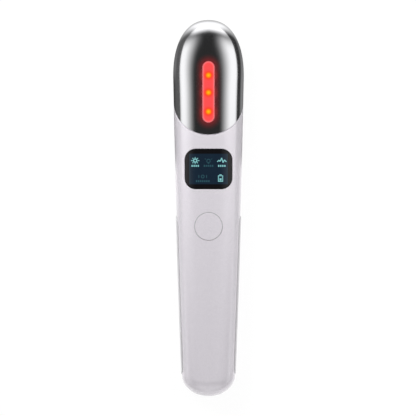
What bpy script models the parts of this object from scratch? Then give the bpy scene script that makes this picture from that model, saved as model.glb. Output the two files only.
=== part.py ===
"""Handheld eye massager: a polished metal head with a red light window on a plastic handle.

Run with: blender --background --python part.py
The massager lies on its back: +X is its right side, +Y its head end and +Z its front.
"""
import math

import bmesh
import bpy
from mathutils import Matrix, Vector

MM = 0.001

# Outside form
BODY_LENGTH = 150.5 * MM
SEAM_HEIGHT = 10.0 * MM  # the plane where the two housings meet, above the face it lies on
END_HALF_WIDTH = 10.28 * MM
HEAD_HALF_WIDTH = 14.57 * MM
WIDTH_BOW = 0.46 * MM
END_ROUND_WIDTH = 8.35 * MM  # length over which the plain end closes, seen from the front
HEAD_ROUND_WIDTH = 23.7 * MM
END_FRONT_DEPTH = 9.2 * MM
HEAD_FRONT_DEPTH = 12.6 * MM
FRONT_BOW = 0.3 * MM
BACK_FLAT = 0.3 * MM  # how far the back's curve would reach past the face it lies on
BACK_DEPTH = SEAM_HEIGHT + BACK_FLAT
END_ROUND_DEPTH = 6.5 * MM  # length over which the plain end closes, seen from the side
HEAD_ROUND_FRONT = 34.0 * MM
HEAD_ROUND_BACK = 40.0 * MM
END_POWER = 2.0
HEAD_POWER = 2.25
DEPTH_POWER = 2.1
FRONT_POWER = 2.0
BACK_POWER = 2.6
HEAD_SIDE_LENGTH = 33.6 * MM  # tip to the head's joint, along the sides
HEAD_FRONT_DROP = 12.6 * MM  # how much further down the joint reaches on the front

# Walls and clearances
HOUSING_WALL = 1.6 * MM
HEAD_WALL = 1.2 * MM
JOINT_GAP = 0.2 * MM
SEAT_GAP = 0.3 * MM
SLIDE_GAP = 0.15 * MM
OVERRUN = 2.0 * MM  # how far every cutter runs past what it cuts
WELD_DISTANCE = 0.0002 * MM  # points closer than this are one point
LIP_HEIGHT = 0.9 * MM
LIP_WALL = 0.75 * MM
EDGE_RADIUS = 0.3 * MM

# Light window and its lamps
WINDOW_LENGTH = 24.4 * MM
WINDOW_WIDTH = 4.8 * MM
WINDOW_TO_TIP = 28.9 * MM  # window's middle to the head's tip
WINDOW_FLANGE = 1.2 * MM
WINDOW_THICKNESS = 0.8 * MM
LAMP_UPPER_PITCH = 6.9 * MM
LAMP_LOWER_PITCH = 7.6 * MM
LAMP_OFFSET = -0.3 * MM  # middle lamp from the window's middle
LAMP_WIDTH = 2.8 * MM
LAMP_LENGTH = 3.5 * MM
LAMP_HEIGHT = 0.8 * MM
LAMP_WELL_MARGIN = 0.5 * MM
LAMP_BOARD_WIDTH = 8.0 * MM
LAMP_BOARD_LENGTH = 24.0 * MM
LAMP_BOARD_THICKNESS = 1.0 * MM
LAMP_BOARD_RISE = 7.3 * MM  # its top above the seam
LAMP_BOARD_TOP = SEAM_HEIGHT + LAMP_BOARD_RISE
LAMP_BOARD_SHIFT = -2.1 * MM  # board's middle from the window's middle
SOLDER_GAP = 0.15 * MM

# Heater
HEATER_THICKNESS = 0.25 * MM
HEATER_HALF_WIDTH = 7.0 * MM
HEATER_LENGTH = 6.5 * MM
HEATER_TO_TIP = 11.0 * MM
THERMISTOR_RADIUS = 0.8 * MM
THERMISTOR_LENGTH = 3.0 * MM

# Head bracket
BRACKET_PLATE = 1.6 * MM
SPIGOT_DEPTH = 3.0 * MM
SPIGOT_WALL = 1.0 * MM
TONGUE_HALF_WIDTH = 3.5 * MM
TONGUE_THICKNESS = 0.9 * MM
TONGUE_LENGTH = 12.0 * MM
HEAD_SCREW_OFFSET = 8.6 * MM
HEAD_SCREW_RADIUS = 0.75 * MM
HEAD_SCREW_LENGTH = 6.5 * MM
SCREW_HEAD_RADIUS = 1.5 * MM
SCREW_HEAD_HEIGHT = 1.1 * MM
SCREW_SLOT_WIDTH = 0.4 * MM
SCREW_SLOT_DEPTH = 0.5 * MM
BOSS_RADIUS = 2.0 * MM
TERMINAL_RADIUS = 1.9 * MM
TERMINAL_THICKNESS = 0.3 * MM

# Vibration motor
MOTOR_RADIUS = 3.5 * MM
MOTOR_LENGTH = 15.0 * MM
MOTOR_CAP_LENGTH = 0.6 * MM
MOTOR_TO_JOINT = 2.7 * MM  # front of the motor's can past the head joint's middle
SHAFT_RADIUS = 0.6 * MM
SHAFT_IN_CAN = 4.5 * MM
SHAFT_CLEARANCE = 0.1 * MM
WEIGHT_RADIUS = 3.0 * MM
WEIGHT_HUB_RADIUS = 1.5 * MM
WEIGHT_LENGTH = 4.8 * MM
WEIGHT_STANDOFF = 1.2 * MM
SLEEVE_WALL = 0.7 * MM
SLEEVE_LENGTH = 12.0 * MM
SOCKET_WALL = 1.0 * MM
SOCKET_LENGTH = 15.5 * MM

# Display
DISPLAY_CORNER = 4.3 * MM
DISPLAY_TO_HEAD = 5.5 * MM  # lens's head edge to the metal head's edge on the front
DISPLAY_THICKNESS = 1.0 * MM
VIEW_WIDTH = 15.5 * MM
VIEW_HEIGHT = 12.4 * MM
VIEW_CORNER = 0.8 * MM
LENS_SIDE_BORDER = 1.65 * MM
LENS_END_BORDER = 1.75 * MM
DISPLAY_WIDTH = VIEW_WIDTH + 2 * LENS_SIDE_BORDER
DISPLAY_HEIGHT = VIEW_HEIGHT + 2 * LENS_END_BORDER
GASKET_THICKNESS = 0.25 * MM
GASKET_MARGIN = 0.3 * MM
LEDGE_WIDTH = 1.1 * MM
LEDGE_DEPTH = 1.0 * MM
LEDGE_OPENING_MARGIN = 0.45 * MM
PANEL_THICKNESS = 1.2 * MM
HOLDER_WALL = 0.8 * MM
FLEX_THICKNESS = 0.2 * MM
FLEX_WIDTH = 9.0 * MM
FLEX_BULGE = 1.1 * MM

# Button and switch
BUTTON_RADIUS = 5.5 * MM
BUTTON_TO_DISPLAY = 22.9 * MM  # button's middle to the display's middle
BUTTON_TRAVEL = 0.35 * MM
BUTTON_WALL = 1.4 * MM
BUTTON_FLANGE_RADIUS = 6.3 * MM
BUTTON_FLANGE_THICKNESS = 0.8 * MM
BUTTON_STEM_RADIUS = 1.5 * MM
COLLAR_WALL = 1.0 * MM
SWITCH_WIDTH = 6.0 * MM
SWITCH_HEIGHT = 3.0 * MM
SWITCH_WELL_RADIUS = 2.4 * MM
SWITCH_WELL_DEPTH = 2.1 * MM
SWITCH_COVER = 0.3 * MM
PLUNGER_RADIUS = 1.7 * MM
PLUNGER_COLLAR_RADIUS = 2.1 * MM
PLUNGER_COLLAR_HEIGHT = 0.4 * MM
PLUNGER_STANDS = 0.9 * MM  # how far the plunger stands out of the cover
DOME_RADIUS = 2.1 * MM
DOME_RISE = 0.3 * MM
DOME_THICKNESS = 0.15 * MM

# Main board and what it carries
BOARD_HALF_WIDTH = 9.2 * MM
BOARD_CORNER = 2.0 * MM
BOARD_THICKNESS = 1.2 * MM
BOARD_RISE = 1.8 * MM  # its top above the seam
BOARD_TOP = SEAM_HEIGHT + BOARD_RISE
BOARD_TO_JOINT = 14.3 * MM  # board's head end to the head joint's middle
BOARD_TO_BUTTON = 9.25 * MM  # board's lower end to the button's middle
BOARD_SCREW_OFFSET = 7.0 * MM
BOARD_SCREW_INSET = 3.1 * MM
BOARD_SCREW_RADIUS = 0.8 * MM
BOARD_SCREW_LENGTH = 5.0 * MM
POST_RADIUS = 1.7 * MM
CHIP_SIZE = 5.0 * MM
CHIP_HEIGHT = 0.9 * MM
CHIP_TO_DISPLAY = 14.8 * MM
TRANSFORMER_WIDTH = 8.0 * MM
TRANSFORMER_LENGTH = 9.0 * MM
TRANSFORMER_HEIGHT = 5.6 * MM
TRANSFORMER_FLANGE = 1.2 * MM
TRANSFORMER_WAIST = 0.9 * MM
TRANSFORMER_FROM_END = 22.0 * MM
CAPACITOR_RADIUS = 2.5 * MM
CAPACITOR_LENGTH = 8.0 * MM
CAPACITOR_FROM_END = 34.0 * MM
CAPACITOR_OFFSET = 4.6 * MM
SOCKET_WIDTH = 5.2 * MM
SOCKET_DEPTH = 3.0 * MM
SOCKET_HEIGHT = 2.6 * MM
SOCKET_FROM_END = 2.9 * MM

# Battery
CELL_RADIUS = 6.5 * MM
CELL_DROP = 0.8 * MM  # its axis below the seam
CELL_AXIS_HEIGHT = SEAM_HEIGHT - CELL_DROP
CELL_GROOVE = 0.35 * MM
CELL_SHOULDER = 3.2 * MM
CELL_BUTTON_RADIUS = 2.2 * MM
CELL_BUTTON_HEIGHT = 0.5 * MM
CRADLE_THICKNESS = 1.2 * MM
CRADLE_DROP = 2.4 * MM  # its top below the seam
CRADLE_HEIGHT = SEAM_HEIGHT - CRADLE_DROP
CRADLE_COUNT = 3
PAD_THICKNESS = 0.7 * MM
PAD_HALF_WIDTH = 3.6 * MM
PAD_LENGTH_SHARE = 0.55  # of the cell's length
STOP_THICKNESS = 1.0 * MM
STOP_DROP = 1.0 * MM  # its top below the seam
STOP_HEIGHT = SEAM_HEIGHT - STOP_DROP
STOP_HALF_WIDTH = 5.0 * MM

# Charging port
PORT_WIDTH = 8.94 * MM
PORT_HEIGHT = 3.2 * MM
PORT_DEPTH = 7.3 * MM
PORT_WALL = 0.3 * MM
PORT_SETBACK = 1.4 * MM
TONGUE_PLATE_WIDTH = 6.7 * MM
TONGUE_PLATE_THICKNESS = 0.7 * MM
TONGUE_PLATE_SETBACK = 1.0 * MM
TONGUE_BASE_DEPTH = 1.6 * MM
PORT_BOARD_HALF_WIDTH = 5.2 * MM
PORT_BOARD_START = 4.3 * MM
PORT_BOARD_LENGTH = 6.7 * MM
PORT_BOARD_THICKNESS = 1.0 * MM
PORT_RIB_OFFSET = 3.4 * MM
PORT_RIB_THICKNESS = 1.0 * MM
PORT_RIB_LENGTH = 4.5 * MM

# Grip electrodes on the handle's sides
GRIP_START = 9.0 * MM
GRIP_PAST_BUTTON = 4.15 * MM  # the button's middle to the grips' head end
GRIP_WIDTH = 6.0 * MM
GRIP_PROUD = 0.3 * MM
GRIP_DEPTH = 0.55 * MM
STUD_RADIUS = 0.9 * MM
STUD_LENGTH = 2.3 * MM  # of the lower stud; the upper one reaches to its spring
STUD_FROM_TOP = 6.1 * MM
STUD_FROM_BOTTOM = 7.0 * MM
SPRING_THICKNESS = 0.2 * MM
SPRING_WIDTH = 2.4 * MM
SPRING_FOOT = 1.9 * MM
SPRING_DROP = 1.9 * MM

# Wires
LEAD_RADIUS = 0.45 * MM
FINE_LEAD_RADIUS = 0.35 * MM
LEAD_SPACING = 1.8 * MM
RIBBON_THICKNESS = 0.2 * MM
RIBBON_WIDTH = 4.0 * MM
RIBBON_BEND = 1.2 * MM
GROUND_LANE_SHARE = 0.54  # a lane's height over the cell's axis, of the cell's radius
CHARGE_LANE_SHARES = (0.56, 0.38)
CHARGE_LAND_SHARE = 0.75  # the rest are of the charge leads' pitch
CHARGE_RISE_SHARE = 0.6
CHARGE_SWING_SHARE = 1.4
MOTOR_LEAD_SHARE = 0.75  # of the motor's radius
HEATER_SWING_SHARE = 0.8  # of the heater leads' distance from the middle

# How finely round forms are drawn
OUTER_POINT_COUNT = 44  # points round a section of the outside
INNER_POINT_COUNT = 24  # points round a section of a wall's inner face
OUTER_STATION_COUNTS = (6, 5, 10)  # sections at the plain end, along the body and at the head
INNER_STATION_COUNTS = (4, 4, 7)
ROUND_SEGMENTS = 28
SMALL_SEGMENTS = 12
CORNER_SEGMENTS = 5
DOME_STEPS = 3
ROUTE_STEPS = 2
BEND_STEPS = 3
BEVEL_ANGLE = math.radians(50)  # edges sharper than this are rounded
SMOOTH_ANGLE = math.radians(35)  # faces that meet more gently are shaded as one

# Places along the body, measured from the plain end
JOINT_STATION = BODY_LENGTH - HEAD_SIDE_LENGTH
HEAD_EDGE_STATION = JOINT_STATION - HEAD_FRONT_DROP
DISPLAY_STATION = HEAD_EDGE_STATION - DISPLAY_TO_HEAD - DISPLAY_HEIGHT / 2
BUTTON_STATION = DISPLAY_STATION - BUTTON_TO_DISPLAY
WINDOW_STATION = BODY_LENGTH - WINDOW_TO_TIP
BOARD_END = JOINT_STATION - BOARD_TO_JOINT
STOP_START = PORT_BOARD_START + PORT_BOARD_LENGTH + SEAT_GAP
CELL_START = STOP_START + STOP_THICKNESS + SEAT_GAP
BOARD_START = BUTTON_STATION - BOARD_TO_BUTTON
STOP_END = BOARD_START - SEAT_GAP - STOP_THICKNESS
CELL_END = STOP_END - SEAT_GAP - CELL_BUTTON_HEIGHT
CELL_LENGTH = CELL_END - CELL_START  # the cell fills the room between its two stops
GRIP_LENGTH = BUTTON_STATION + GRIP_PAST_BUTTON - GRIP_START
BOARD_BOTTOM = BOARD_TOP - BOARD_THICKNESS
ON_BOARD = BOARD_TOP + SOLDER_GAP
LAMP_STATION = WINDOW_STATION + LAMP_OFFSET
LAMP_STATIONS = (LAMP_STATION + LAMP_UPPER_PITCH, LAMP_STATION, LAMP_STATION - LAMP_LOWER_PITCH)
LAMP_BOARD_BOTTOM = LAMP_BOARD_TOP - LAMP_BOARD_THICKNESS
MOTOR_FRONT = JOINT_STATION + MOTOR_TO_JOINT
MOTOR_BACK = MOTOR_FRONT - MOTOR_LENGTH
SLEEVE_BORE = MOTOR_RADIUS + SLIDE_GAP
SLEEVE_RADIUS = SLEEVE_BORE + SLEEVE_WALL
SOCKET_BORE = SLEEVE_RADIUS + SLIDE_GAP
SOCKET_RADIUS = SOCKET_BORE + SOCKET_WALL
SWITCH_TOP = ON_BOARD + SWITCH_HEIGHT
COVER_BOTTOM = SWITCH_TOP + SOLDER_GAP
COVER_TOP = COVER_BOTTOM + SWITCH_COVER
PLUNGER_TOP = COVER_TOP + PLUNGER_STANDS
FLANGE_BOTTOM = COVER_TOP + BUTTON_TRAVEL + SEAT_GAP
FLANGE_TOP = FLANGE_BOTTOM + BUTTON_FLANGE_THICKNESS
COLLAR_BOTTOM = FLANGE_TOP + SLIDE_GAP
STEM_BOTTOM = PLUNGER_TOP + SEAT_GAP
BUTTON_HOLE = BUTTON_RADIUS + SLIDE_GAP
PORT_BOARD_TOP = SEAM_HEIGHT - PORT_HEIGHT / 2 - SOLDER_GAP
PORT_BOARD_BOTTOM = PORT_BOARD_TOP - PORT_BOARD_THICKNESS
SPRING_PLACE = BOARD_HALF_WIDTH + SEAT_GAP + SPRING_THICKNESS / 2  # its upright, from the middle
UPPER_STUD_TIP = SPRING_PLACE + SPRING_THICKNESS / 2 + SEAT_GAP
BRACKET_LOW = JOINT_GAP / 2 + SEAT_GAP / 2  # bracket plate's rear face, out from the joint
BRACKET_HIGH = BRACKET_LOW + BRACKET_PLATE


def along(station):
    """Place on the Y axis of a station measured from the plain end."""
    return station - BODY_LENGTH / 2


# The outside form as a formula


def taper(at_end, at_head, bow, share):
    return at_end + (at_head - at_end) * share + 4 * bow * share * (1 - share)


def closing(distance, length, power):
    """1 along the body, falling to 0 at an end, as a superellipse does."""
    if distance >= length:
        return 1.0
    return max(0.0, 1 - (1 - distance / length) ** power) ** (1 / power)


def section(share, inset):
    """Half width, front depth and back depth of the form that lies inset within the outside."""
    from_end = share * BODY_LENGTH
    from_head = BODY_LENGTH - from_end
    width = taper(END_HALF_WIDTH, HEAD_HALF_WIDTH, WIDTH_BOW, share) - inset
    front = taper(END_FRONT_DEPTH, HEAD_FRONT_DEPTH, FRONT_BOW, share) - inset
    back = BACK_DEPTH - inset
    width *= closing(from_end, END_ROUND_WIDTH, END_POWER)
    width *= closing(from_head, HEAD_ROUND_WIDTH, HEAD_POWER)
    end_closing = closing(from_end, END_ROUND_DEPTH, DEPTH_POWER)
    front *= end_closing * closing(from_head, HEAD_ROUND_FRONT, DEPTH_POWER)
    back *= end_closing * closing(from_head, HEAD_ROUND_BACK, DEPTH_POWER)
    return width, front, back


def share_at(station, inset):
    return (station - inset) / (BODY_LENGTH - 2 * inset)


def crown(station, inset=0.0):
    """Height of the front's middle line."""
    return SEAM_HEIGHT + section(share_at(station, inset), inset)[1]


def front_height(across, station, inset=0.0):
    """Height of the front at a distance across from the middle line."""
    width, front, _ = section(share_at(station, inset), inset)
    return SEAM_HEIGHT + front * (1 - (abs(across) / width) ** FRONT_POWER) ** (1 / FRONT_POWER)


def side(station, inset=0.0):
    """Half width at the seam."""
    return section(share_at(station, inset), inset)[0]


def signed_power(value, power):
    return math.copysign(abs(value) ** power, value)


def ring(share, inset, count):
    """The points of one section, starting half a step past the seam."""
    width, front, back = section(share, inset)
    place = along(inset + share * (BODY_LENGTH - 2 * inset))
    points = []
    for index in range(count):
        angle = 2 * math.pi * (index + 0.5) / count
        rise = math.sin(angle)
        depth, power = (front, FRONT_POWER) if rise > 0 else (back, BACK_POWER)
        across = width * signed_power(math.cos(angle), 2 / power)
        height = SEAM_HEIGHT + depth * signed_power(rise, 2 / power)
        points.append(Vector((across, place, max(height, inset))))
    return points


def station_shares(end_count, body_count, head_count):
    """Shares of the length that carry a ring, closer together where an end closes."""
    end_span = END_ROUND_WIDTH / BODY_LENGTH
    head_span = HEAD_ROUND_BACK / BODY_LENGTH
    shares = []
    for index in range(1, end_count + 1):
        shares.append(end_span * (1 - math.cos(math.pi / 2 * index / end_count)))
    for index in range(1, body_count):
        shares.append(end_span + (1 - end_span - head_span) * index / body_count)
    for index in range(head_count, 0, -1):
        shares.append(1 - head_span * (1 - math.cos(math.pi / 2 * index / head_count)))
    return shares


# Scene helpers


def start_scene():
    for found in list(bpy.data.objects):
        bpy.data.objects.remove(found)
    parts = bpy.data.collections.new("eye_massager")
    bpy.context.scene.collection.children.link(parts)
    return parts


PARTS = start_scene()


def link(mesh, name):
    made = bpy.data.objects.new(name, mesh)
    PARTS.objects.link(made)
    return made


def mesh_from(bm, name):
    mesh = bpy.data.meshes.new(name)
    bm.to_mesh(mesh)
    bm.free()
    return link(mesh, name)


def evaluated_mesh(made):
    bpy.context.view_layer.update()
    return bpy.data.meshes.new_from_object(made.evaluated_get(bpy.context.evaluated_depsgraph_get()))


def settle(made):
    """Takes an object's modifiers into its mesh."""
    mesh = evaluated_mesh(made)
    made.modifiers.clear()
    made.data = mesh
    return made


def combine(target, tool, operation):
    modifier = target.modifiers.new(operation.lower(), "BOOLEAN")
    modifier.operation = operation
    modifier.object = tool
    settle(target)
    bpy.data.objects.remove(tool)
    return target


def cut(target, *tools):
    for tool in tools:
        combine(target, tool, "DIFFERENCE")
    return target


def keep(target, *tools):
    for tool in tools:
        combine(target, tool, "INTERSECT")
    return target


def fuse(target, *tools):
    for tool in tools:
        combine(target, tool, "UNION")
    return target


def skin(inset=0.0):
    """The closed outside form, or the like form that lies inset within it."""
    bm = bmesh.new()
    count = INNER_POINT_COUNT if inset > 0 else OUTER_POINT_COUNT
    rings = []
    station_counts = INNER_STATION_COUNTS if inset > 0 else OUTER_STATION_COUNTS
    for share in station_shares(*station_counts):
        rings.append([bm.verts.new(point) for point in ring(share, inset, count)])
    end_pole = bm.verts.new((0, along(inset), SEAM_HEIGHT))
    head_pole = bm.verts.new((0, along(BODY_LENGTH - inset), SEAM_HEIGHT))
    for index in range(count):
        after = (index + 1) % count
        bm.faces.new((end_pole, rings[0][after], rings[0][index]))
        bm.faces.new((head_pole, rings[-1][index], rings[-1][after]))
        for low, high in zip(rings, rings[1:]):
            bm.faces.new((low[index], low[after], high[after], high[index]))
    bmesh.ops.triangulate(bm, faces=bm.faces)
    bmesh.ops.recalc_face_normals(bm, faces=bm.faces)
    return mesh_from(bm, "skin")


def box(low, high, name="box"):
    """A box between two corners, with its origin in its middle."""
    low, high = Vector(low), Vector(high)
    bm = bmesh.new()
    bmesh.ops.create_cube(bm, size=1)
    bmesh.ops.scale(bm, verts=bm.verts, vec=high - low)
    made = mesh_from(bm, name)
    made.location = (low + high) / 2
    return made


ALONG_X = Matrix(((0, 0, 1), (1, 0, 0), (0, 1, 0))).to_4x4()
ALONG_Y = Matrix(((1, 0, 0), (0, 0, 1), (0, -1, 0))).to_4x4()
ALONG_Z = Matrix.Identity(4)
FACING_END = Matrix(((1, 0, 0), (0, 0, -1), (0, 1, 0))).to_4x4()


def placed(made, centre, turn):
    made.matrix_world = Matrix.Translation(centre) @ turn
    return made


def rod(centre, radius, length, turn=ALONG_Z, name="rod", segments=ROUND_SEGMENTS):
    """A cylinder whose middle is at centre and whose axis is turn's Z."""
    bm = bmesh.new()
    bmesh.ops.create_cone(
        bm, cap_ends=True, segments=segments, radius1=radius, radius2=radius, depth=length
    )
    return placed(mesh_from(bm, name), centre, turn)


def rounded_outline(width, height, corner):
    """Points round a rectangle with round corners, anticlockwise."""
    points = []
    for quarter, (sx, sy) in enumerate(((1, 1), (-1, 1), (-1, -1), (1, -1))):
        middle = Vector((sx * (width / 2 - corner), sy * (height / 2 - corner)))
        for step in range(CORNER_SEGMENTS + 1):
            angle = math.pi / 2 * (quarter + step / CORNER_SEGMENTS)
            points.append(middle + corner * Vector((math.cos(angle), math.sin(angle))))
    return points


def plate(outline, thickness, centre, turn=ALONG_Z, name="plate"):
    """A flat outline, given in turn's XY plane, extruded by half its thickness each way."""
    curve = bpy.data.curves.new(name, "CURVE")
    curve.dimensions = "2D"
    curve.fill_mode = "BOTH"
    curve.extrude = thickness / 2
    spline = curve.splines.new("POLY")
    spline.points.add(len(outline) - 1)
    for point, place in zip(spline.points, outline):
        point.co = (place[0], place[1], 0, 1)
    spline.use_cyclic_u = True
    return as_mesh(placed(link(curve, name), centre, turn), name)


def as_mesh(drawn, name):
    """The mesh of a curve object, with its caps welded."""
    mesh = evaluated_mesh(drawn)
    bm = bmesh.new()
    bm.from_mesh(mesh)
    bmesh.ops.remove_doubles(bm, verts=bm.verts, dist=WELD_DISTANCE)
    bmesh.ops.dissolve_degenerate(bm, edges=bm.edges, dist=WELD_DISTANCE)
    bmesh.ops.recalc_face_normals(bm, faces=bm.faces)
    bm.to_mesh(mesh)
    bm.free()
    made = link(mesh, name)
    made.matrix_world = drawn.matrix_world
    bpy.data.objects.remove(drawn)
    made.name = name
    return made


def rounded_plate(width, height, corner, thickness, centre, turn=ALONG_Z, name="plate"):
    return plate(rounded_outline(width, height, corner), thickness, centre, turn, name)


def turned(profile, centre, turn, name, segments=ROUND_SEGMENTS):
    """A solid of revolution about turn's Z from (radius, height) points, top to bottom."""
    mesh = bpy.data.meshes.new(name)
    edges = [(index, index + 1) for index in range(len(profile) - 1)]
    mesh.from_pydata([(radius, 0, height) for radius, height in profile], edges, [])
    made = placed(link(mesh, name), centre, turn)
    screw = made.modifiers.new("turn", "SCREW")
    screw.steps = screw.render_steps = segments
    screw.use_merge_vertices = True
    screw.merge_threshold = WELD_DISTANCE
    settle(made)
    bm = bmesh.new()
    bm.from_mesh(made.data)
    bmesh.ops.recalc_face_normals(bm, faces=bm.faces)
    bm.to_mesh(made.data)
    bm.free()
    return made


def wire(name, route, radius):
    """A smooth round tube through its route's points."""
    curve = bpy.data.curves.new(name, "CURVE")
    curve.dimensions = "3D"
    curve.bevel_depth = radius
    curve.bevel_resolution = 1
    curve.use_fill_caps = True
    points = smooth_route([Vector(point) for point in route])
    spline = curve.splines.new("POLY")
    spline.points.add(len(points) - 1)
    for target, place in zip(spline.points, points):
        target.co = (*place, 1)
    return finish(as_mesh(link(curve, name), name), name, WIRE_COVER)


def smooth_route(points):
    """Catmull-Rom points through a hand-drawn route."""
    route = []
    for index in range(len(points) - 1):
        before = points[max(index - 1, 0)]
        start, end = points[index], points[index + 1]
        after = points[min(index + 2, len(points) - 1)]
        for step in range(ROUTE_STEPS):
            t = step / ROUTE_STEPS
            route.append(
                0.5
                * (
                    2 * start
                    + (end - before) * t
                    + (2 * before - 5 * start + 4 * end - after) * t**2
                    + (3 * start - before - 3 * end + after) * t**3
                )
            )
    return route + [points[-1]]


def strip(name, centre_line, thickness, width, centre, turn):
    """A bent flat strip: a centre line in turn's XY plane, given thickness and extruded to width."""
    line = [Vector(point) for point in centre_line]
    left, right = [], []
    for index, point in enumerate(line):
        ahead = line[min(index + 1, len(line) - 1)] - line[max(index - 1, 0)]
        normal = Vector((-ahead.y, ahead.x)).normalized() * thickness / 2
        left.append(point + normal)
        right.append(point - normal)
    return plate(left + right[::-1], width, centre, turn, name)


def soften(made, radius, segments=2):
    """Rounds the sharp edges of a plain piece."""
    bevel = made.modifiers.new("edges", "BEVEL")
    bevel.width = radius
    bevel.segments = segments
    bevel.limit_method = "ANGLE"
    bevel.angle_limit = BEVEL_ANGLE
    bevel.use_clamp_overlap = True
    return settle(made)


def move_origin(made, point):
    """Puts an object's origin at a point and leaves its surface where it is."""
    bpy.context.view_layer.update()
    shift = made.matrix_world.inverted() @ Vector(point)
    made.data.transform(Matrix.Translation(-shift))
    made.matrix_world = made.matrix_world @ Matrix.Translation(shift)
    return made


MATERIALS = {}


def material(name, colour, roughness, metallic=0.0):
    if name not in MATERIALS:
        made = bpy.data.materials.new(name)
        made.use_nodes = True
        shader = made.node_tree.nodes["Principled BSDF"]
        shader.inputs["Base Color"].default_value = (*colour, 1)
        shader.inputs["Roughness"].default_value = roughness
        shader.inputs["Metallic"].default_value = metallic
        MATERIALS[name] = made
    return MATERIALS[name]


def finish(made, name, finish_material):
    """Names a finished piece, gives it its material and shades its round faces smooth."""
    made.name = name
    made.data.name = name
    made.data.materials.clear()
    made.data.materials.append(finish_material)
    made.data.shade_smooth()
    made.data.set_sharp_from_angle(angle=SMOOTH_ANGLE)
    return made


WHITE_PLASTIC = material("white_plastic", (0.70, 0.69, 0.72), 0.35)
POLISHED_METAL = material("polished_metal", (0.62, 0.62, 0.64), 0.15, 1.0)
PLATED_METAL = material("plated_metal", (0.50, 0.50, 0.50), 0.25, 1.0)
RED_DIFFUSER = material("red_diffuser", (0.90, 0.08, 0.07), 0.4)
BLACK_GLOSS = material("black_gloss", (0.01, 0.01, 0.012), 0.08)
BLACK_FOAM = material("black_foam", (0.02, 0.02, 0.02), 0.9)
CIRCUIT_BOARD = material("circuit_board", (0.02, 0.16, 0.07), 0.5)
CHIP_PLASTIC = material("chip_plastic", (0.03, 0.03, 0.03), 0.5)
CREAM_PLASTIC = material("cream_plastic", (0.75, 0.71, 0.60), 0.5)
STEEL = material("steel", (0.55, 0.55, 0.56), 0.3, 1.0)
BRASS = material("brass", (0.70, 0.52, 0.22), 0.3, 1.0)
RUBBER = material("rubber", (0.05, 0.05, 0.05), 0.8)
AMBER_FILM = material("amber_film", (0.65, 0.30, 0.05), 0.4)
BLUE_WRAP = material("blue_wrap", (0.05, 0.20, 0.55), 0.4)
DISPLAY_GLASS = material("display_glass", (0.02, 0.04, 0.07), 0.1)
WIRE_COVER = material("wire_cover", (0.60, 0.03, 0.03), 0.5)


# The head's slanting joint

CROWN_DEPTH = crown(HEAD_EDGE_STATION) - SEAM_HEIGHT
JOINT_TILT = math.atan(HEAD_FRONT_DROP / CROWN_DEPTH)
JOINT_FRAME = Matrix.Translation((0, along(JOINT_STATION), SEAM_HEIGHT)) @ Matrix.Rotation(
    JOINT_TILT - math.pi / 2, 4, "X"
)
JOINT_TURN = JOINT_FRAME.to_3x3().to_4x4()


def joint_point(across, down, out):
    """A point given across the joint's plane, down its slope to the back and out to the head."""
    return JOINT_FRAME @ Vector((across, down, out))


def joint_slab(low, high):
    """The space between two planes that lie along the head's joint."""
    made = box((-BODY_LENGTH, -BODY_LENGTH, low), (BODY_LENGTH, BODY_LENGTH, high))
    made.matrix_world = JOINT_FRAME @ Matrix.Translation((0, 0, (low + high) / 2))
    return made


def level_slab(low, high):
    """The space between two heights above the face that the massager lies on."""
    return box((-BODY_LENGTH, -BODY_LENGTH, low), (BODY_LENGTH, BODY_LENGTH, high))


def shell_band(outer, inner, *limits):
    """What lies between two insets of the outside form, within every limit."""
    return cut(keep(skin(outer), *limits), skin(inner))


def window_prism(margin, low):
    """The light window's outline, grown by a margin, from a height to above the front."""
    return rounded_plate(
        WINDOW_WIDTH + 2 * margin,
        WINDOW_LENGTH + 2 * margin,
        WINDOW_WIDTH / 2 + margin,
        BODY_LENGTH,
        (0, along(WINDOW_STATION), low + BODY_LENGTH / 2),
    )


def display_prism(width, height, corner, low):
    return rounded_plate(
        width, height, corner, BODY_LENGTH, (0, along(DISPLAY_STATION), low + BODY_LENGTH / 2)
    )


def lens_prism(margin):
    return display_prism(
        DISPLAY_WIDTH + 2 * margin,
        DISPLAY_HEIGHT + 2 * margin,
        DISPLAY_CORNER + margin,
        SEAM_HEIGHT + JOINT_GAP,
    )


def ledge_opening():
    return display_prism(
        VIEW_WIDTH + 2 * LEDGE_OPENING_MARGIN,
        VIEW_HEIGHT + 2 * LEDGE_OPENING_MARGIN,
        VIEW_CORNER + LEDGE_OPENING_MARGIN,
        SEAM_HEIGHT + JOINT_GAP,
    )


def grip_prism(hand, margin):
    """The grip electrode's outline, seen from the side, out from the middle of one side."""
    return rounded_plate(
        GRIP_LENGTH + 2 * margin,
        GRIP_WIDTH + 2 * margin,
        GRIP_WIDTH / 2 + margin,
        2 * HEAD_HALF_WIDTH,
        (hand * (HEAD_HALF_WIDTH + 2 * OVERRUN), along(GRIP_START + GRIP_LENGTH / 2), SEAM_HEIGHT),
        ALONG_X,
    )


UPPER_STUD_STATION = GRIP_START + GRIP_LENGTH - STUD_FROM_TOP
STUDS = (  # station and length of each stud on a grip electrode
    (UPPER_STUD_STATION, side(UPPER_STUD_STATION) - GRIP_DEPTH / 2 - UPPER_STUD_TIP),
    (GRIP_START + STUD_FROM_BOTTOM, STUD_LENGTH),
)
POST_PLACES = [
    (hand * BOARD_SCREW_OFFSET, station)
    for station in (BOARD_START + BOARD_SCREW_INSET, BOARD_END - BOARD_SCREW_INSET)
    for hand in (-1, 1)
]


def stud(hand, station, radius, reach):
    """A rod that runs in from just under the outside at one side of the seam."""
    outer = side(station) - GRIP_DEPTH / 2
    return rod(
        (hand * (outer - reach / 2), along(station), SEAM_HEIGHT),
        radius,
        reach,
        ALONG_X,
        segments=SMALL_SEGMENTS,
    )


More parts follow.
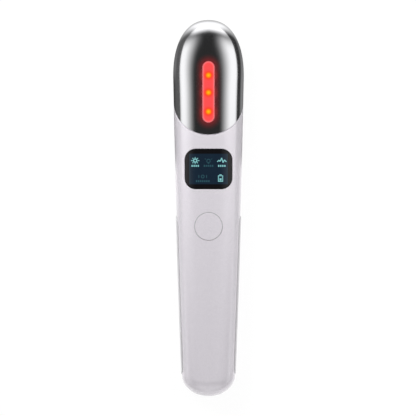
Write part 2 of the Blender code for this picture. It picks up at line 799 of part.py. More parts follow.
def port_prism(margin, start, end):
    """The charging port's outline, grown by a margin, between two stations."""
    return rounded_plate(
        PORT_WIDTH + 2 * margin,
        PORT_HEIGHT + 2 * margin,
        PORT_HEIGHT / 2 + margin,
        end - start,
        (0, along((start + end) / 2), SEAM_HEIGHT),
        ALONG_Y,
    )


def shared_cuts(housing):
    """The cuts that cross the seam: grip grooves, stud holes and the port's mouth."""
    for hand in (-1, 1):
        groove = cut(grip_prism(hand, SLIDE_GAP), skin(GRIP_DEPTH + SLIDE_GAP))
        cut(housing, groove)
        for station, length in STUDS:
            cut(housing, stud(hand, station, STUD_RADIUS + SLIDE_GAP, length + OVERRUN))
    cut(housing, port_prism(SLIDE_GAP, -OVERRUN, PORT_BOARD_START))
    return housing


def half_housing(low, high):
    """One half of the handle as a solid, up to the head's joint."""
    return keep(skin(), level_slab(low, high), joint_slab(-2 * BODY_LENGTH, -JOINT_GAP / 2))


# Front housing


def make_front_housing():
    half_wall = HOUSING_WALL / 2
    above_seam = SEAM_HEIGHT + JOINT_GAP / 2
    housing = cut(half_housing(above_seam, BODY_LENGTH), skin(HOUSING_WALL))
    ledge = shell_band(half_wall, HOUSING_WALL + LEDGE_DEPTH, lens_prism(LEDGE_WIDTH))
    collar = keep(
        rod(
            (0, along(BUTTON_STATION), COLLAR_BOTTOM + BODY_LENGTH / 2),
            BUTTON_HOLE + COLLAR_WALL,
            BODY_LENGTH,
        ),
        skin(half_wall),
    )
    fuse(housing, ledge, collar)
    for across, station in POST_PLACES:
        low = BOARD_TOP + SEAT_GAP
        post = rod(
            (across, along(station), low + BODY_LENGTH / 2),
            POST_RADIUS,
            BODY_LENGTH,
            segments=SMALL_SEGMENTS,
        )
        fuse(housing, keep(post, skin(half_wall)))
    hold_down = box(
        (-PORT_RIB_OFFSET, along(PORT_BOARD_START), SEAM_HEIGHT + PORT_HEIGHT / 2 + SEAT_GAP),
        (PORT_RIB_OFFSET, along(PORT_BOARD_START + PORT_RIB_LENGTH / 2), BODY_LENGTH),
    )
    fuse(housing, keep(hold_down, skin(half_wall)))
    lens_seat = DISPLAY_THICKNESS + GASKET_THICKNESS + 2 * SOLDER_GAP
    cut(housing, cut(lens_prism(SLIDE_GAP), skin(lens_seat)), ledge_opening())
    cut(
        housing,
        rod((0, along(BUTTON_STATION), SEAM_HEIGHT + BODY_LENGTH / 2), BUTTON_HOLE, BODY_LENGTH),
    )
    for across, station in POST_PLACES:
        depth = BOARD_SCREW_LENGTH - BOARD_THICKNESS
        cut(
            housing,
            rod(
                (across, along(station), BOARD_TOP + depth / 2),
                BOARD_SCREW_RADIUS + SLIDE_GAP,
                depth,
                segments=SMALL_SEGMENTS,
            ),
        )
    rebate = keep(
        skin(LIP_WALL),
        level_slab(0, above_seam + LIP_HEIGHT + SLIDE_GAP),
        joint_slab(-2 * BODY_LENGTH, -SPIGOT_DEPTH),
    )
    cut(housing, rebate)
    return finish(shared_cuts(housing), "front_housing", WHITE_PLASTIC)


# Rear housing


def make_rear_housing():
    half_wall = HOUSING_WALL / 2
    below_seam = SEAM_HEIGHT - JOINT_GAP / 2
    housing = half_housing(-OVERRUN, below_seam)
    lip = keep(
        skin(LIP_WALL + SLIDE_GAP),
        level_slab(below_seam - LIP_HEIGHT, below_seam + LIP_HEIGHT),
        joint_slab(-2 * BODY_LENGTH, -SPIGOT_DEPTH - SEAT_GAP),
    )
    cut(fuse(housing, lip), skin(HOUSING_WALL))
    pitch = CELL_LENGTH / CRADLE_COUNT
    for index in range(CRADLE_COUNT):
        middle = along(CELL_START + pitch * (index + 0.5))
        fuse(housing, cradle(middle, CRADLE_THICKNESS, CRADLE_HEIGHT, BODY_LENGTH, half_wall))
    for start in (STOP_START, STOP_END):
        middle = along(start + STOP_THICKNESS / 2)
        fuse(housing, cradle(middle, STOP_THICKNESS, STOP_HEIGHT, STOP_HALF_WIDTH, half_wall))
    saddle = rod(
        (0, along(CELL_START + CELL_LENGTH / 2), CELL_AXIS_HEIGHT),
        CELL_RADIUS + SEAT_GAP,
        CELL_LENGTH + SEAT_GAP,
        ALONG_Y,
    )
    cut(housing, saddle)
    for hand in (-1, 1):
        top = PORT_BOARD_BOTTOM - SEAT_GAP
        inner = hand * PORT_RIB_OFFSET - PORT_RIB_THICKNESS / 2
        rib = box(
            (inner, along(PORT_BOARD_START), -OVERRUN),
            (inner + PORT_RIB_THICKNESS, along(PORT_BOARD_START + PORT_RIB_LENGTH), top),
        )
        fuse(housing, keep(rib, skin(half_wall)))
    return finish(shared_cuts(housing), "rear_housing", WHITE_PLASTIC)


def cradle(middle, thickness, height, half_width, inset):
    """A cross rib that stands up from the rear housing's floor."""
    rib = box(
        (-half_width, middle - thickness / 2, -OVERRUN), (half_width, middle + thickness / 2, height)
    )
    return keep(rib, skin(inset))


# Grip electrodes and their contacts


def make_grip_electrodes():
    for hand, name in ((-1, "left"), (1, "right")):
        grip = shell_band(-GRIP_PROUD, GRIP_DEPTH, grip_prism(hand, 0))
        for station, length in STUDS:
            fuse(grip, stud(hand, station, STUD_RADIUS, length))
        finish(grip, name + "_grip_electrode", PLATED_METAL)
        make_contact_spring(hand, name)


def make_contact_spring(hand, name):
    foot_height = ON_BOARD + SPRING_THICKNESS / 2
    line = [
        (hand * (SPRING_PLACE - SPRING_FOOT), foot_height),
        (hand * (SPRING_PLACE - SPRING_THICKNESS), foot_height),
        (hand * SPRING_PLACE, foot_height - SPRING_THICKNESS),
        (hand * SPRING_PLACE, SEAM_HEIGHT - SPRING_DROP),
    ]
    place = (0, along(UPPER_STUD_STATION), 0)
    made = strip("spring", line, SPRING_THICKNESS, SPRING_WIDTH, place, FACING_END)
    finish(made, name + "_contact_spring", BRASS)


# Display

PANEL_WIDTH = VIEW_WIDTH + 2 * LEDGE_OPENING_MARGIN - 2 * SEAT_GAP
PANEL_HEIGHT = VIEW_HEIGHT + 2 * LEDGE_OPENING_MARGIN - 2 * SEAT_GAP


def panel_top():
    """Height of the flat panel, close under the curved gasket at its lower corners."""
    inset = DISPLAY_THICKNESS + SOLDER_GAP + GASKET_THICKNESS
    lower_end = DISPLAY_STATION - PANEL_HEIGHT / 2
    return front_height(PANEL_WIDTH / 2, lower_end, inset) - SEAT_GAP


def make_display():
    lens = shell_band(0, DISPLAY_THICKNESS, lens_prism(0))
    finish(lens, "display_lens", BLACK_GLOSS)
    outer = DISPLAY_THICKNESS + SOLDER_GAP
    gasket = shell_band(outer, outer + GASKET_THICKNESS, lens_prism(-GASKET_MARGIN))
    cut(gasket, display_prism(VIEW_WIDTH, VIEW_HEIGHT, VIEW_CORNER, SEAM_HEIGHT))
    finish(gasket, "lens_gasket", BLACK_FOAM)

    width, height = PANEL_WIDTH, PANEL_HEIGHT
    middle = along(DISPLAY_STATION)
    panel_middle = panel_top() - PANEL_THICKNESS / 2
    panel = rounded_plate(
        width, height, VIEW_CORNER, PANEL_THICKNESS, (0, middle, panel_middle)
    )
    finish(panel, "display_panel", DISPLAY_GLASS)

    top = panel_middle - PANEL_THICKNESS / 2 - SOLDER_GAP
    holder = box(
        (-width / 2, middle - height / 2, ON_BOARD), (width / 2, middle + height / 2, top)
    )
    soften(holder, EDGE_RADIUS, 1)
    hollow = box(
        (-width / 2 + HOLDER_WALL, middle - height / 2 + HOLDER_WALL, ON_BOARD - OVERRUN),
        (width / 2 - HOLDER_WALL, middle + height / 2 - HOLDER_WALL, top + OVERRUN),
    )
    cut(holder, hollow)
    finish(holder, "display_holder", CHIP_PLASTIC)

    edge = middle - height / 2 - SEAT_GAP
    low = ON_BOARD + FLEX_THICKNESS / 2
    high = panel_middle
    line = []
    for step in range(2 * CORNER_SEGMENTS + 1):
        angle = math.pi * step / (2 * CORNER_SEGMENTS)
        rise = (high - low) / 2
        line.append((edge - FLEX_BULGE * math.sin(angle), low + rise - rise * math.cos(angle)))
    flex = strip("flex", line, FLEX_THICKNESS, FLEX_WIDTH, (0, 0, 0), ALONG_X)
    finish(flex, "display_flex", AMBER_FILM)


# Button and tact switch


def make_button():
    station = along(BUTTON_STATION)
    cap = keep(
        rod((0, station, FLANGE_BOTTOM + BODY_LENGTH / 2), BUTTON_RADIUS, BODY_LENGTH), skin()
    )
    flange_middle = (FLANGE_BOTTOM + FLANGE_TOP) / 2
    fuse(cap, rod((0, station, flange_middle), BUTTON_FLANGE_RADIUS, BUTTON_FLANGE_THICKNESS))
    hollow = rod((0, station, SEAM_HEIGHT + BODY_LENGTH / 2), BUTTON_RADIUS - BUTTON_WALL, BODY_LENGTH)
    cut(cap, keep(hollow, skin(BUTTON_WALL)))
    stem = rod(
        (0, station, STEM_BOTTOM + BODY_LENGTH / 2),
        BUTTON_STEM_RADIUS,
        BODY_LENGTH,
        segments=SMALL_SEGMENTS,
    )
    fuse(cap, keep(stem, skin(BUTTON_WALL / 2)))
    move_origin(cap, (0, station, FLANGE_BOTTOM))
    finish(cap, "button_cap", WHITE_PLASTIC)


def make_switch():
    station = along(BUTTON_STATION)
    half = SWITCH_WIDTH / 2
    well_floor = SWITCH_TOP - SWITCH_WELL_DEPTH
    body = box((-half, station - half, ON_BOARD), (half, station + half, SWITCH_TOP))
    soften(body, EDGE_RADIUS, 1)
    well_middle = well_floor + (SWITCH_WELL_DEPTH + OVERRUN) / 2
    cut(
        body,
        rod((0, station, well_middle), SWITCH_WELL_RADIUS, SWITCH_WELL_DEPTH + OVERRUN),
    )
    finish(body, "switch_body", CHIP_PLASTIC)

    dome_base = well_floor + SOLDER_GAP
    outer, inner = [], []
    for step in range(DOME_STEPS + 1):
        share = step / DOME_STEPS
        rise = DOME_RISE * math.cos(math.pi / 2 * share)
        outer.append((DOME_RADIUS * share, rise + DOME_THICKNESS))
        inner.append((DOME_RADIUS * share, rise))
    dome = turned(outer + inner[::-1], (0, station, dome_base), ALONG_Z, "dome", SMALL_SEGMENTS)
    finish(dome, "switch_dome", STEEL)

    cover = box((-half, station - half, COVER_BOTTOM), (half, station + half, COVER_TOP))
    cut(cover, rod((0, station, COVER_TOP), PLUNGER_RADIUS + SLIDE_GAP, OVERRUN))
    finish(cover, "switch_cover", STEEL)

    collar_top = COVER_BOTTOM - SLIDE_GAP
    collar_bottom = collar_top - PLUNGER_COLLAR_HEIGHT
    tip = dome_base + DOME_RISE + DOME_THICKNESS + BUTTON_TRAVEL + SLIDE_GAP
    profile = [
        (0, PLUNGER_TOP),
        (PLUNGER_RADIUS, PLUNGER_TOP),
        (PLUNGER_RADIUS, collar_top),
        (PLUNGER_COLLAR_RADIUS, collar_top),
        (PLUNGER_COLLAR_RADIUS, collar_bottom),
        (PLUNGER_RADIUS / 2, collar_bottom),
        (PLUNGER_RADIUS / 2, tip),
        (0, tip),
    ]
    plunger = turned(profile, (0, station, 0), ALONG_Z, "plunger", SMALL_SEGMENTS)
    move_origin(plunger, (0, station, PLUNGER_TOP))
    finish(plunger, "switch_plunger", CREAM_PLASTIC)


# Massage head


def make_head():
    half_wall = HEAD_WALL / 2
    head = keep(skin(), joint_slab(JOINT_GAP / 2, 2 * BODY_LENGTH))
    cut(head, skin(HEAD_WALL))
    boss_start = BRACKET_HIGH + SEAT_GAP
    for hand in (-1, 1):
        across = hand * HEAD_SCREW_OFFSET
        boss = rod(
            joint_point(across, 0, boss_start + BODY_LENGTH / 2),
            BOSS_RADIUS,
            BODY_LENGTH,
            JOINT_TURN,
            segments=SMALL_SEGMENTS,
        )
        fuse(head, keep(boss, skin(half_wall)))
        pilot = rod(
            joint_point(across, 0, HEAD_SCREW_LENGTH / 2),
            HEAD_SCREW_RADIUS + SLIDE_GAP,
            HEAD_SCREW_LENGTH + SEAT_GAP,
            JOINT_TURN,
            segments=SMALL_SEGMENTS,
        )
        cut(head, pilot)
    cut(head, window_prism(0, SEAM_HEIGHT))
    finish(head, "massage_head", POLISHED_METAL)


def make_light_window():
    flange_top = HEAD_WALL + SOLDER_GAP
    flange_bottom = flange_top + WINDOW_THICKNESS
    window = shell_band(0, flange_top + WINDOW_THICKNESS / 2, window_prism(-SLIDE_GAP, SEAM_HEIGHT))
    flange = shell_band(flange_top, flange_bottom, window_prism(WINDOW_FLANGE, SEAM_HEIGHT))
    finish(fuse(window, flange), "light_window", RED_DIFFUSER)

    lamp_bottom = LAMP_BOARD_TOP + SOLDER_GAP
    reflector_inset = flange_bottom + SEAT_GAP
    reflector = keep(window_prism(WINDOW_FLANGE / 2, lamp_bottom), skin(reflector_inset))
    for station in LAMP_STATIONS:
        well = rounded_plate(
            LAMP_WIDTH + 2 * LAMP_WELL_MARGIN,
            LAMP_LENGTH + 2 * LAMP_WELL_MARGIN,
            LAMP_WELL_MARGIN,
            BODY_LENGTH,
            (0, along(station), lamp_bottom),
        )
        cut(reflector, well)
    finish(reflector, "lamp_reflector", CREAM_PLASTIC)

    for index, station in enumerate(LAMP_STATIONS):
        lamp = box(
            (-LAMP_WIDTH / 2, along(station) - LAMP_LENGTH / 2, lamp_bottom),
            (LAMP_WIDTH / 2, along(station) + LAMP_LENGTH / 2, lamp_bottom + LAMP_HEIGHT),
        )
        soften(lamp, SOLDER_GAP, 1)
        finish(lamp, f"red_lamp_{index + 1}", RED_DIFFUSER)

    board = rounded_plate(
        LAMP_BOARD_WIDTH,
        LAMP_BOARD_LENGTH,
        WINDOW_FLANGE,
        LAMP_BOARD_THICKNESS,
        (0, along(WINDOW_STATION + LAMP_BOARD_SHIFT), LAMP_BOARD_TOP - LAMP_BOARD_THICKNESS / 2),
    )
    finish(board, "lamp_board", CIRCUIT_BOARD)


def sensor_place():
    """The middle of the temperature sensor, close under the heater film."""
    station = BODY_LENGTH - HEATER_TO_TIP
    inset = HEAD_WALL + SEAT_GAP + HEATER_THICKNESS
    roof = front_height(THERMISTOR_LENGTH / 2, station + THERMISTOR_RADIUS, inset)
    return (0, along(station), roof - SEAT_GAP - THERMISTOR_RADIUS)


def make_heater():
    inset = HEAD_WALL + SEAT_GAP
    middle = along(BODY_LENGTH - HEATER_TO_TIP)
    patch = box(
        (-HEATER_HALF_WIDTH, middle - HEATER_LENGTH / 2, SEAM_HEIGHT + OVERRUN),
        (HEATER_HALF_WIDTH, middle + HEATER_LENGTH / 2, BODY_LENGTH),
    )
    film = shell_band(inset, inset + HEATER_THICKNESS, patch)
    finish(film, "heater_film", AMBER_FILM)
    bead = rod(
        sensor_place(),
        THERMISTOR_RADIUS,
        THERMISTOR_LENGTH,
        ALONG_X,
        segments=SMALL_SEGMENTS,
    )
    finish(soften(bead, SOLDER_GAP * 2), "thermistor", CHIP_PLASTIC)


def make_bracket():
    bracket = keep(skin(HEAD_WALL + SEAT_GAP), joint_slab(BRACKET_LOW, BRACKET_HIGH))
    spigot_inset = HOUSING_WALL + SEAT_GAP
    spigot_slab = joint_slab(-SPIGOT_DEPTH, (BRACKET_LOW + BRACKET_HIGH) / 2)
    spigot = shell_band(spigot_inset, spigot_inset + SPIGOT_WALL, spigot_slab)
    socket = rod(
        (0, along(MOTOR_FRONT + SEAT_GAP - SOCKET_LENGTH / 2), SEAM_HEIGHT),
        SOCKET_RADIUS,
        SOCKET_LENGTH,
        ALONG_Y,
    )
    tongue_top = LAMP_BOARD_BOTTOM - SEAT_GAP
    tongue = box(
        (-TONGUE_HALF_WIDTH, along(HEAD_EDGE_STATION), tongue_top - TONGUE_THICKNESS),
        (TONGUE_HALF_WIDTH, along(JOINT_STATION + TONGUE_LENGTH), tongue_top),
    )
    lamp_bay = LAMP_BOARD_WIDTH / 2 + WINDOW_FLANGE
    bay_floor = tongue_top - TONGUE_THICKNESS / 2
    bay = box((-lamp_bay, along(0), bay_floor), (lamp_bay, along(BODY_LENGTH), BODY_LENGTH))
    cut(fuse(bracket, spigot), bay)
    fuse(bracket, socket, keep(tongue, joint_slab((BRACKET_LOW + BRACKET_HIGH) / 2, BODY_LENGTH)))
    bore = rod(
        (0, along(JOINT_STATION), SEAM_HEIGHT), SOCKET_BORE, 2 * HEAD_SIDE_LENGTH, ALONG_Y
    )
    cut(bracket, bore)
    for hand in (-1, 1):
        hole = rod(
            joint_point(hand * HEAD_SCREW_OFFSET, 0, 0),
            HEAD_SCREW_RADIUS + SLIDE_GAP,
            3 * BRACKET_PLATE,
            JOINT_TURN,
            segments=SMALL_SEGMENTS,
        )
        cut(bracket, hole)
    finish(bracket, "head_bracket", CREAM_PLASTIC)


def screw(place, turn, head_top, radius, length):
    """A pan head screw: its head ends at head_top on turn's Z, and its shank runs on up."""
    bottom = head_top - SCREW_HEAD_HEIGHT
    profile = [
        (0, head_top + length),
        (radius, head_top + length - radius),
        (radius, head_top),
        (SCREW_HEAD_RADIUS, head_top),
        (SCREW_HEAD_RADIUS, bottom + SCREW_HEAD_HEIGHT / 2),
        (SCREW_HEAD_RADIUS - SCREW_HEAD_HEIGHT / 3, bottom),
        (0, bottom),
    ]
    made = turned(profile, place, turn, "screw", SMALL_SEGMENTS)
    for width, depth in (
        (SCREW_SLOT_WIDTH, SCREW_HEAD_RADIUS),
        (SCREW_HEAD_RADIUS, SCREW_SLOT_WIDTH),
    ):
        slot = box(
            (-width / 2, -depth / 2, -OVERRUN),
            (width / 2, depth / 2, SCREW_SLOT_DEPTH),
        )
        slot.matrix_world = placed(slot, place, turn).matrix_world @ Matrix.Translation(
            (0, 0, bottom + (SCREW_SLOT_DEPTH - OVERRUN) / 2)
        )
        cut(made, slot)
    return made


TERMINAL_TOP = BRACKET_LOW - SOLDER_GAP
TERMINAL_PLACE = joint_point(-HEAD_SCREW_OFFSET, 0, TERMINAL_TOP - TERMINAL_THICKNESS / 2)


def make_head_screws():
    """Two screws that clamp the bracket to the head, one through a wire's ring terminal."""
    head_top = TERMINAL_TOP - TERMINAL_THICKNESS - SOLDER_GAP
    for hand, side_name in ((-1, "left"), (1, "right")):
        place = joint_point(hand * HEAD_SCREW_OFFSET, 0, 0)
        seat = head_top if hand < 0 else BRACKET_LOW - SOLDER_GAP
        made = screw(place, JOINT_TURN, seat, HEAD_SCREW_RADIUS, HEAD_SCREW_LENGTH)
        finish(made, "head_screw_" + side_name, STEEL)
    washer = rod(
        TERMINAL_PLACE, TERMINAL_RADIUS, TERMINAL_THICKNESS, JOINT_TURN, segments=SMALL_SEGMENTS
    )
    hole = rod(
        TERMINAL_PLACE,
        HEAD_SCREW_RADIUS + SLIDE_GAP,
        OVERRUN,
        JOINT_TURN,
        segments=SMALL_SEGMENTS,
    )
    finish(cut(washer, hole), "head_terminal", BRASS)


# Vibration motor


def make_motor():
    axis = (0, along(MOTOR_FRONT), SEAM_HEIGHT)
    edge = EDGE_RADIUS
    profile = [
        (0, 0),
        (WEIGHT_HUB_RADIUS, 0),
        (WEIGHT_HUB_RADIUS, -edge),
        (MOTOR_RADIUS - edge, -edge),
        (MOTOR_RADIUS, -2 * edge),
        (MOTOR_RADIUS, -MOTOR_LENGTH),
        (0, -MOTOR_LENGTH),
    ]
    can = turned(profile, axis, ALONG_Y, "can")
    bore_radius = SHAFT_RADIUS + SHAFT_CLEARANCE
    bore_middle = along(MOTOR_FRONT - SHAFT_IN_CAN / 2)
    cut(
        can,
        rod(
            (0, bore_middle, SEAM_HEIGHT),
            bore_radius,
            SHAFT_IN_CAN + 2 * SEAT_GAP,
            ALONG_Y,
            segments=SMALL_SEGMENTS,
        ),
    )
    finish(can, "motor_can", STEEL)

    cap = rod(
        (0, along(MOTOR_BACK - SOLDER_GAP - MOTOR_CAP_LENGTH / 2), SEAM_HEIGHT),
        MOTOR_RADIUS,
        MOTOR_CAP_LENGTH,
        ALONG_Y,
    )
    finish(soften(cap, SOLDER_GAP, 1), "motor_end_cap", CREAM_PLASTIC)

    sleeve_middle = along(MOTOR_FRONT - SLEEVE_LENGTH / 2 - edge)
    sleeve = rod((0, sleeve_middle, SEAM_HEIGHT), SLEEVE_RADIUS, SLEEVE_LENGTH, ALONG_Y)
    bore = rod((0, sleeve_middle, SEAM_HEIGHT), SLEEVE_BORE, SLEEVE_LENGTH + OVERRUN, ALONG_Y)
    finish(cut(sleeve, bore), "motor_sleeve", RUBBER)

    shaft_tip = MOTOR_FRONT + WEIGHT_STANDOFF + WEIGHT_LENGTH + SLIDE_GAP
    shaft_start = MOTOR_FRONT - SHAFT_IN_CAN
    shaft = rod(
        (0, along((shaft_tip + shaft_start) / 2), SEAM_HEIGHT),
        SHAFT_RADIUS,
        shaft_tip - shaft_start,
        ALONG_Y,
        segments=SMALL_SEGMENTS,
    )
    finish(move_origin(shaft, axis), "motor_shaft", STEEL)

    middle = (0, along(MOTOR_FRONT + WEIGHT_STANDOFF + WEIGHT_LENGTH / 2), SEAM_HEIGHT)
    weight = rod(middle, WEIGHT_RADIUS, WEIGHT_LENGTH, ALONG_Y)
    upper_half = box(
        (-2 * WEIGHT_RADIUS, along(MOTOR_FRONT), SEAM_HEIGHT),
        (2 * WEIGHT_RADIUS, along(BODY_LENGTH), SEAM_HEIGHT + 2 * WEIGHT_RADIUS),
    )
    cut(weight, upper_half)
    fuse(weight, rod(middle, WEIGHT_HUB_RADIUS, WEIGHT_LENGTH, ALONG_Y, segments=SMALL_SEGMENTS))
    cut(
        weight,
        rod(
            middle,
            SHAFT_RADIUS + SHAFT_CLEARANCE,
            WEIGHT_LENGTH + OVERRUN,
            ALONG_Y,
            segments=SMALL_SEGMENTS,
        ),
    )
    finish(move_origin(weight, axis), "eccentric_weight", BRASS)


# Main board and what it carries


def make_main_board():
    middle = (BOARD_START + BOARD_END) / 2
    board = rounded_plate(
        2 * BOARD_HALF_WIDTH,
        BOARD_END - BOARD_START,
        BOARD_CORNER,
        BOARD_THICKNESS,
        (0, along(middle), BOARD_TOP - BOARD_THICKNESS / 2),
    )
    for index, (across, station) in enumerate(POST_PLACES):
        place = (across, along(station), 0)
        hole = rod(
            (across, along(station), BOARD_TOP),
            BOARD_SCREW_RADIUS + SEAT_GAP,
            3 * BOARD_THICKNESS,
            segments=SMALL_SEGMENTS,
        )
        cut(board, hole)
        head_top = BOARD_BOTTOM - SOLDER_GAP
        made = screw(place, ALONG_Z, head_top, BOARD_SCREW_RADIUS, BOARD_SCREW_LENGTH)
        finish(made, f"board_screw_{index + 1}", STEEL)
    finish(board, "main_board", CIRCUIT_BOARD)


def make_board_parts():
    half = CHIP_SIZE / 2
    station = along(DISPLAY_STATION - CHIP_TO_DISPLAY)
    chip = box((-half, station - half, ON_BOARD), (half, station + half, ON_BOARD + CHIP_HEIGHT))
    finish(soften(chip, SOLDER_GAP, 1), "control_chip", CHIP_PLASTIC)

    under = BOARD_BOTTOM - SOLDER_GAP
    middle = along(BOARD_START + TRANSFORMER_FROM_END)
    half_width, half_length = TRANSFORMER_WIDTH / 2, TRANSFORMER_LENGTH / 2
    core = box(
        (-half_width, middle - half_length, under - TRANSFORMER_HEIGHT),
        (half_width, middle + half_length, under),
    )
    soften(core, EDGE_RADIUS, 1)
    waist_low = under - TRANSFORMER_HEIGHT + TRANSFORMER_FLANGE
    for hand in (-1, 1):
        inner = hand * (half_width - TRANSFORMER_WAIST)
        outer = hand * (half_width + OVERRUN)
        waist = box(
            (min(inner, outer), middle - 2 * half_length, waist_low),
            (max(inner, outer), middle + 2 * half_length, under - TRANSFORMER_FLANGE),
        )
        cut(core, waist)
    finish(core, "pulse_transformer", CHIP_PLASTIC)

    can = rod(
        (
            CAPACITOR_OFFSET,
            along(BOARD_START + CAPACITOR_FROM_END),
            under - CAPACITOR_RADIUS,
        ),
        CAPACITOR_RADIUS,
        CAPACITOR_LENGTH,
        ALONG_Y,
    )
    finish(soften(can, EDGE_RADIUS), "smoothing_capacitor", CHIP_PLASTIC)

    start = BOARD_START + SOCKET_FROM_END - SOCKET_DEPTH / 2
    socket = box(
        (-SOCKET_WIDTH / 2, along(start), ON_BOARD),
        (SOCKET_WIDTH / 2, along(start + SOCKET_DEPTH), ON_BOARD + SOCKET_HEIGHT),
    )
    mouth = box(
        (-SOCKET_WIDTH / 2 + HOLDER_WALL, along(start) - OVERRUN, ON_BOARD + HOLDER_WALL),
        (
            SOCKET_WIDTH / 2 - HOLDER_WALL,
            along(start + SOCKET_DEPTH / 2),
            ON_BOARD + SOCKET_HEIGHT - HOLDER_WALL / 2,
        ),
    )
    cut(socket, mouth)
    finish(socket, "battery_socket", CREAM_PLASTIC)


# Battery


def make_battery():
    r, length = CELL_RADIUS, CELL_LENGTH
    profile = [
        (0, length + CELL_BUTTON_HEIGHT),
        (CELL_BUTTON_RADIUS, length + CELL_BUTTON_HEIGHT),
        (CELL_BUTTON_RADIUS, length),
        (r - EDGE_RADIUS, length),
        (r, length - EDGE_RADIUS),
        (r, length - CELL_SHOULDER + CELL_GROOVE),
        (r - CELL_GROOVE, length - CELL_SHOULDER),
        (r, length - CELL_SHOULDER - CELL_GROOVE),
        (r, EDGE_RADIUS),
        (r - EDGE_RADIUS, 0),
        (0, 0),
    ]
    cell = turned(profile, (0, along(CELL_START), CELL_AXIS_HEIGHT), ALONG_Y, "cell")
    finish(cell, "battery_cell", BLUE_WRAP)
    low = CELL_AXIS_HEIGHT + CELL_RADIUS + SEAT_GAP
    middle = CELL_START + CELL_LENGTH / 2
    pad = box(
        (-PAD_HALF_WIDTH, along(middle - PAD_LENGTH_SHARE * CELL_LENGTH / 2), low),
        (PAD_HALF_WIDTH, along(middle + PAD_LENGTH_SHARE * CELL_LENGTH / 2), low + PAD_THICKNESS),
    )
    finish(soften(pad, SOLDER_GAP, 1), "cell_pad", BLACK_FOAM)


# Charging port


def make_port():
    front = PORT_SETBACK
    back = front + PORT_DEPTH
    shell = port_prism(0, front, back)
    cut(shell, port_prism(-PORT_WALL, front - OVERRUN, back - PORT_WALL))
    finish(shell, "port_shell", STEEL)
    tongue_start = front + TONGUE_PLATE_SETBACK
    base_end = back - PORT_WALL - SOLDER_GAP
    tongue = box(
        (
            -TONGUE_PLATE_WIDTH / 2,
            along(tongue_start),
            SEAM_HEIGHT - TONGUE_PLATE_THICKNESS / 2,
        ),
        (
            TONGUE_PLATE_WIDTH / 2,
            along(base_end - TONGUE_BASE_DEPTH / 2),
            SEAM_HEIGHT + TONGUE_PLATE_THICKNESS / 2,
        ),
    )
    base = port_prism(-PORT_WALL - SOLDER_GAP, base_end - TONGUE_BASE_DEPTH, base_end)
    finish(fuse(tongue, base), "port_tongue", CHIP_PLASTIC)

    board = box(
        (-PORT_BOARD_HALF_WIDTH, along(PORT_BOARD_START), PORT_BOARD_BOTTOM),
        (PORT_BOARD_HALF_WIDTH, along(PORT_BOARD_START + PORT_BOARD_LENGTH), PORT_BOARD_TOP),
    )
    finish(board, "port_board", CIRCUIT_BOARD)


# Wires


def lane(station, height, hand):
    """A wire's place beside the cell: midway between the cell and the housing's wall."""
    width, front, _ = section(share_at(station, HOUSING_WALL), HOUSING_WALL)
    wall = width * (1 - ((height - SEAM_HEIGHT) / front) ** FRONT_POWER) ** (1 / FRONT_POWER)
    cell = math.sqrt(CELL_RADIUS**2 - (height - CELL_AXIS_HEIGHT) ** 2)
    return (hand * (cell + wall) / 2, along(station), height)


def make_battery_leads():
    pair = LEAD_SPACING / 2
    socket_face = BOARD_START + SOCKET_FROM_END - SOCKET_DEPTH / 2 - SOLDER_GAP
    socket_height = ON_BOARD + SOCKET_HEIGHT / 2
    clear = SEAT_GAP + LEAD_RADIUS
    cell_front = along(CELL_END + CELL_BUTTON_HEIGHT + clear)
    live = [
        (pair, cell_front, CELL_AXIS_HEIGHT + CELL_BUTTON_RADIUS / 2),
        (pair, cell_front, ON_BOARD),
        (pair, along(BOARD_START), socket_height - LEAD_RADIUS / 2),
        (pair, along(socket_face), socket_height),
    ]
    wire("battery_lead_live", live, LEAD_RADIUS)
    cell_back = CELL_START - clear
    high = CELL_AXIS_HEIGHT + CELL_RADIUS * GROUND_LANE_SHARE
    ground = [
        (-LEAD_SPACING, along(cell_back), STOP_HEIGHT + clear + LEAD_RADIUS),
        lane(cell_back, high, -1),
        lane(CELL_START + LEAD_SPACING, high, -1),
        lane(CELL_START + CELL_LENGTH / 2, high, -1),
        lane(CELL_END - LEAD_SPACING, high, -1),
        (-CELL_RADIUS + LEAD_RADIUS, along(CELL_END + LEAD_RADIUS), socket_height),
        (-LEAD_SPACING, along(socket_face - clear), socket_height),
        (-pair, along(socket_face), socket_height),
    ]
    wire("battery_lead_ground", ground, LEAD_RADIUS)


def make_charge_leads():
    """Two wires that run beside the cell from the charging port to the main board."""
    radius = FINE_LEAD_RADIUS
    pad_height = PORT_BOARD_TOP + SOLDER_GAP + radius
    land_height = ON_BOARD + radius
    port_back = PORT_BOARD_START + PORT_BOARD_LENGTH
    pitch = 4 * radius
    for order, name in enumerate(("ground", "live")):
        height = CELL_AXIS_HEIGHT + CELL_RADIUS * CHARGE_LANE_SHARES[order]
        start = (1 + order) * pitch
        station = port_back - (1 + order) * radius
        land = SOCKET_WIDTH / 2 + pitch * (order + CHARGE_LAND_SHARE)
        route = [
            (start, along(station - pitch), pad_height),
            (start + pitch, along(station), pad_height + pitch * CHARGE_RISE_SHARE),
            lane(CELL_START - 2 * radius, height, 1),
            lane(CELL_START + pitch, height, 1),
            lane(CELL_START + CELL_LENGTH / 2, height, 1),
            lane(CELL_END - 3 * pitch, height, 1),
            (land + pitch * CHARGE_SWING_SHARE, along(CELL_END), height + pitch / 2),
            (land, along(BOARD_START + pitch / 2), land_height),
        ]
        wire("charge_lead_" + name, route, radius)


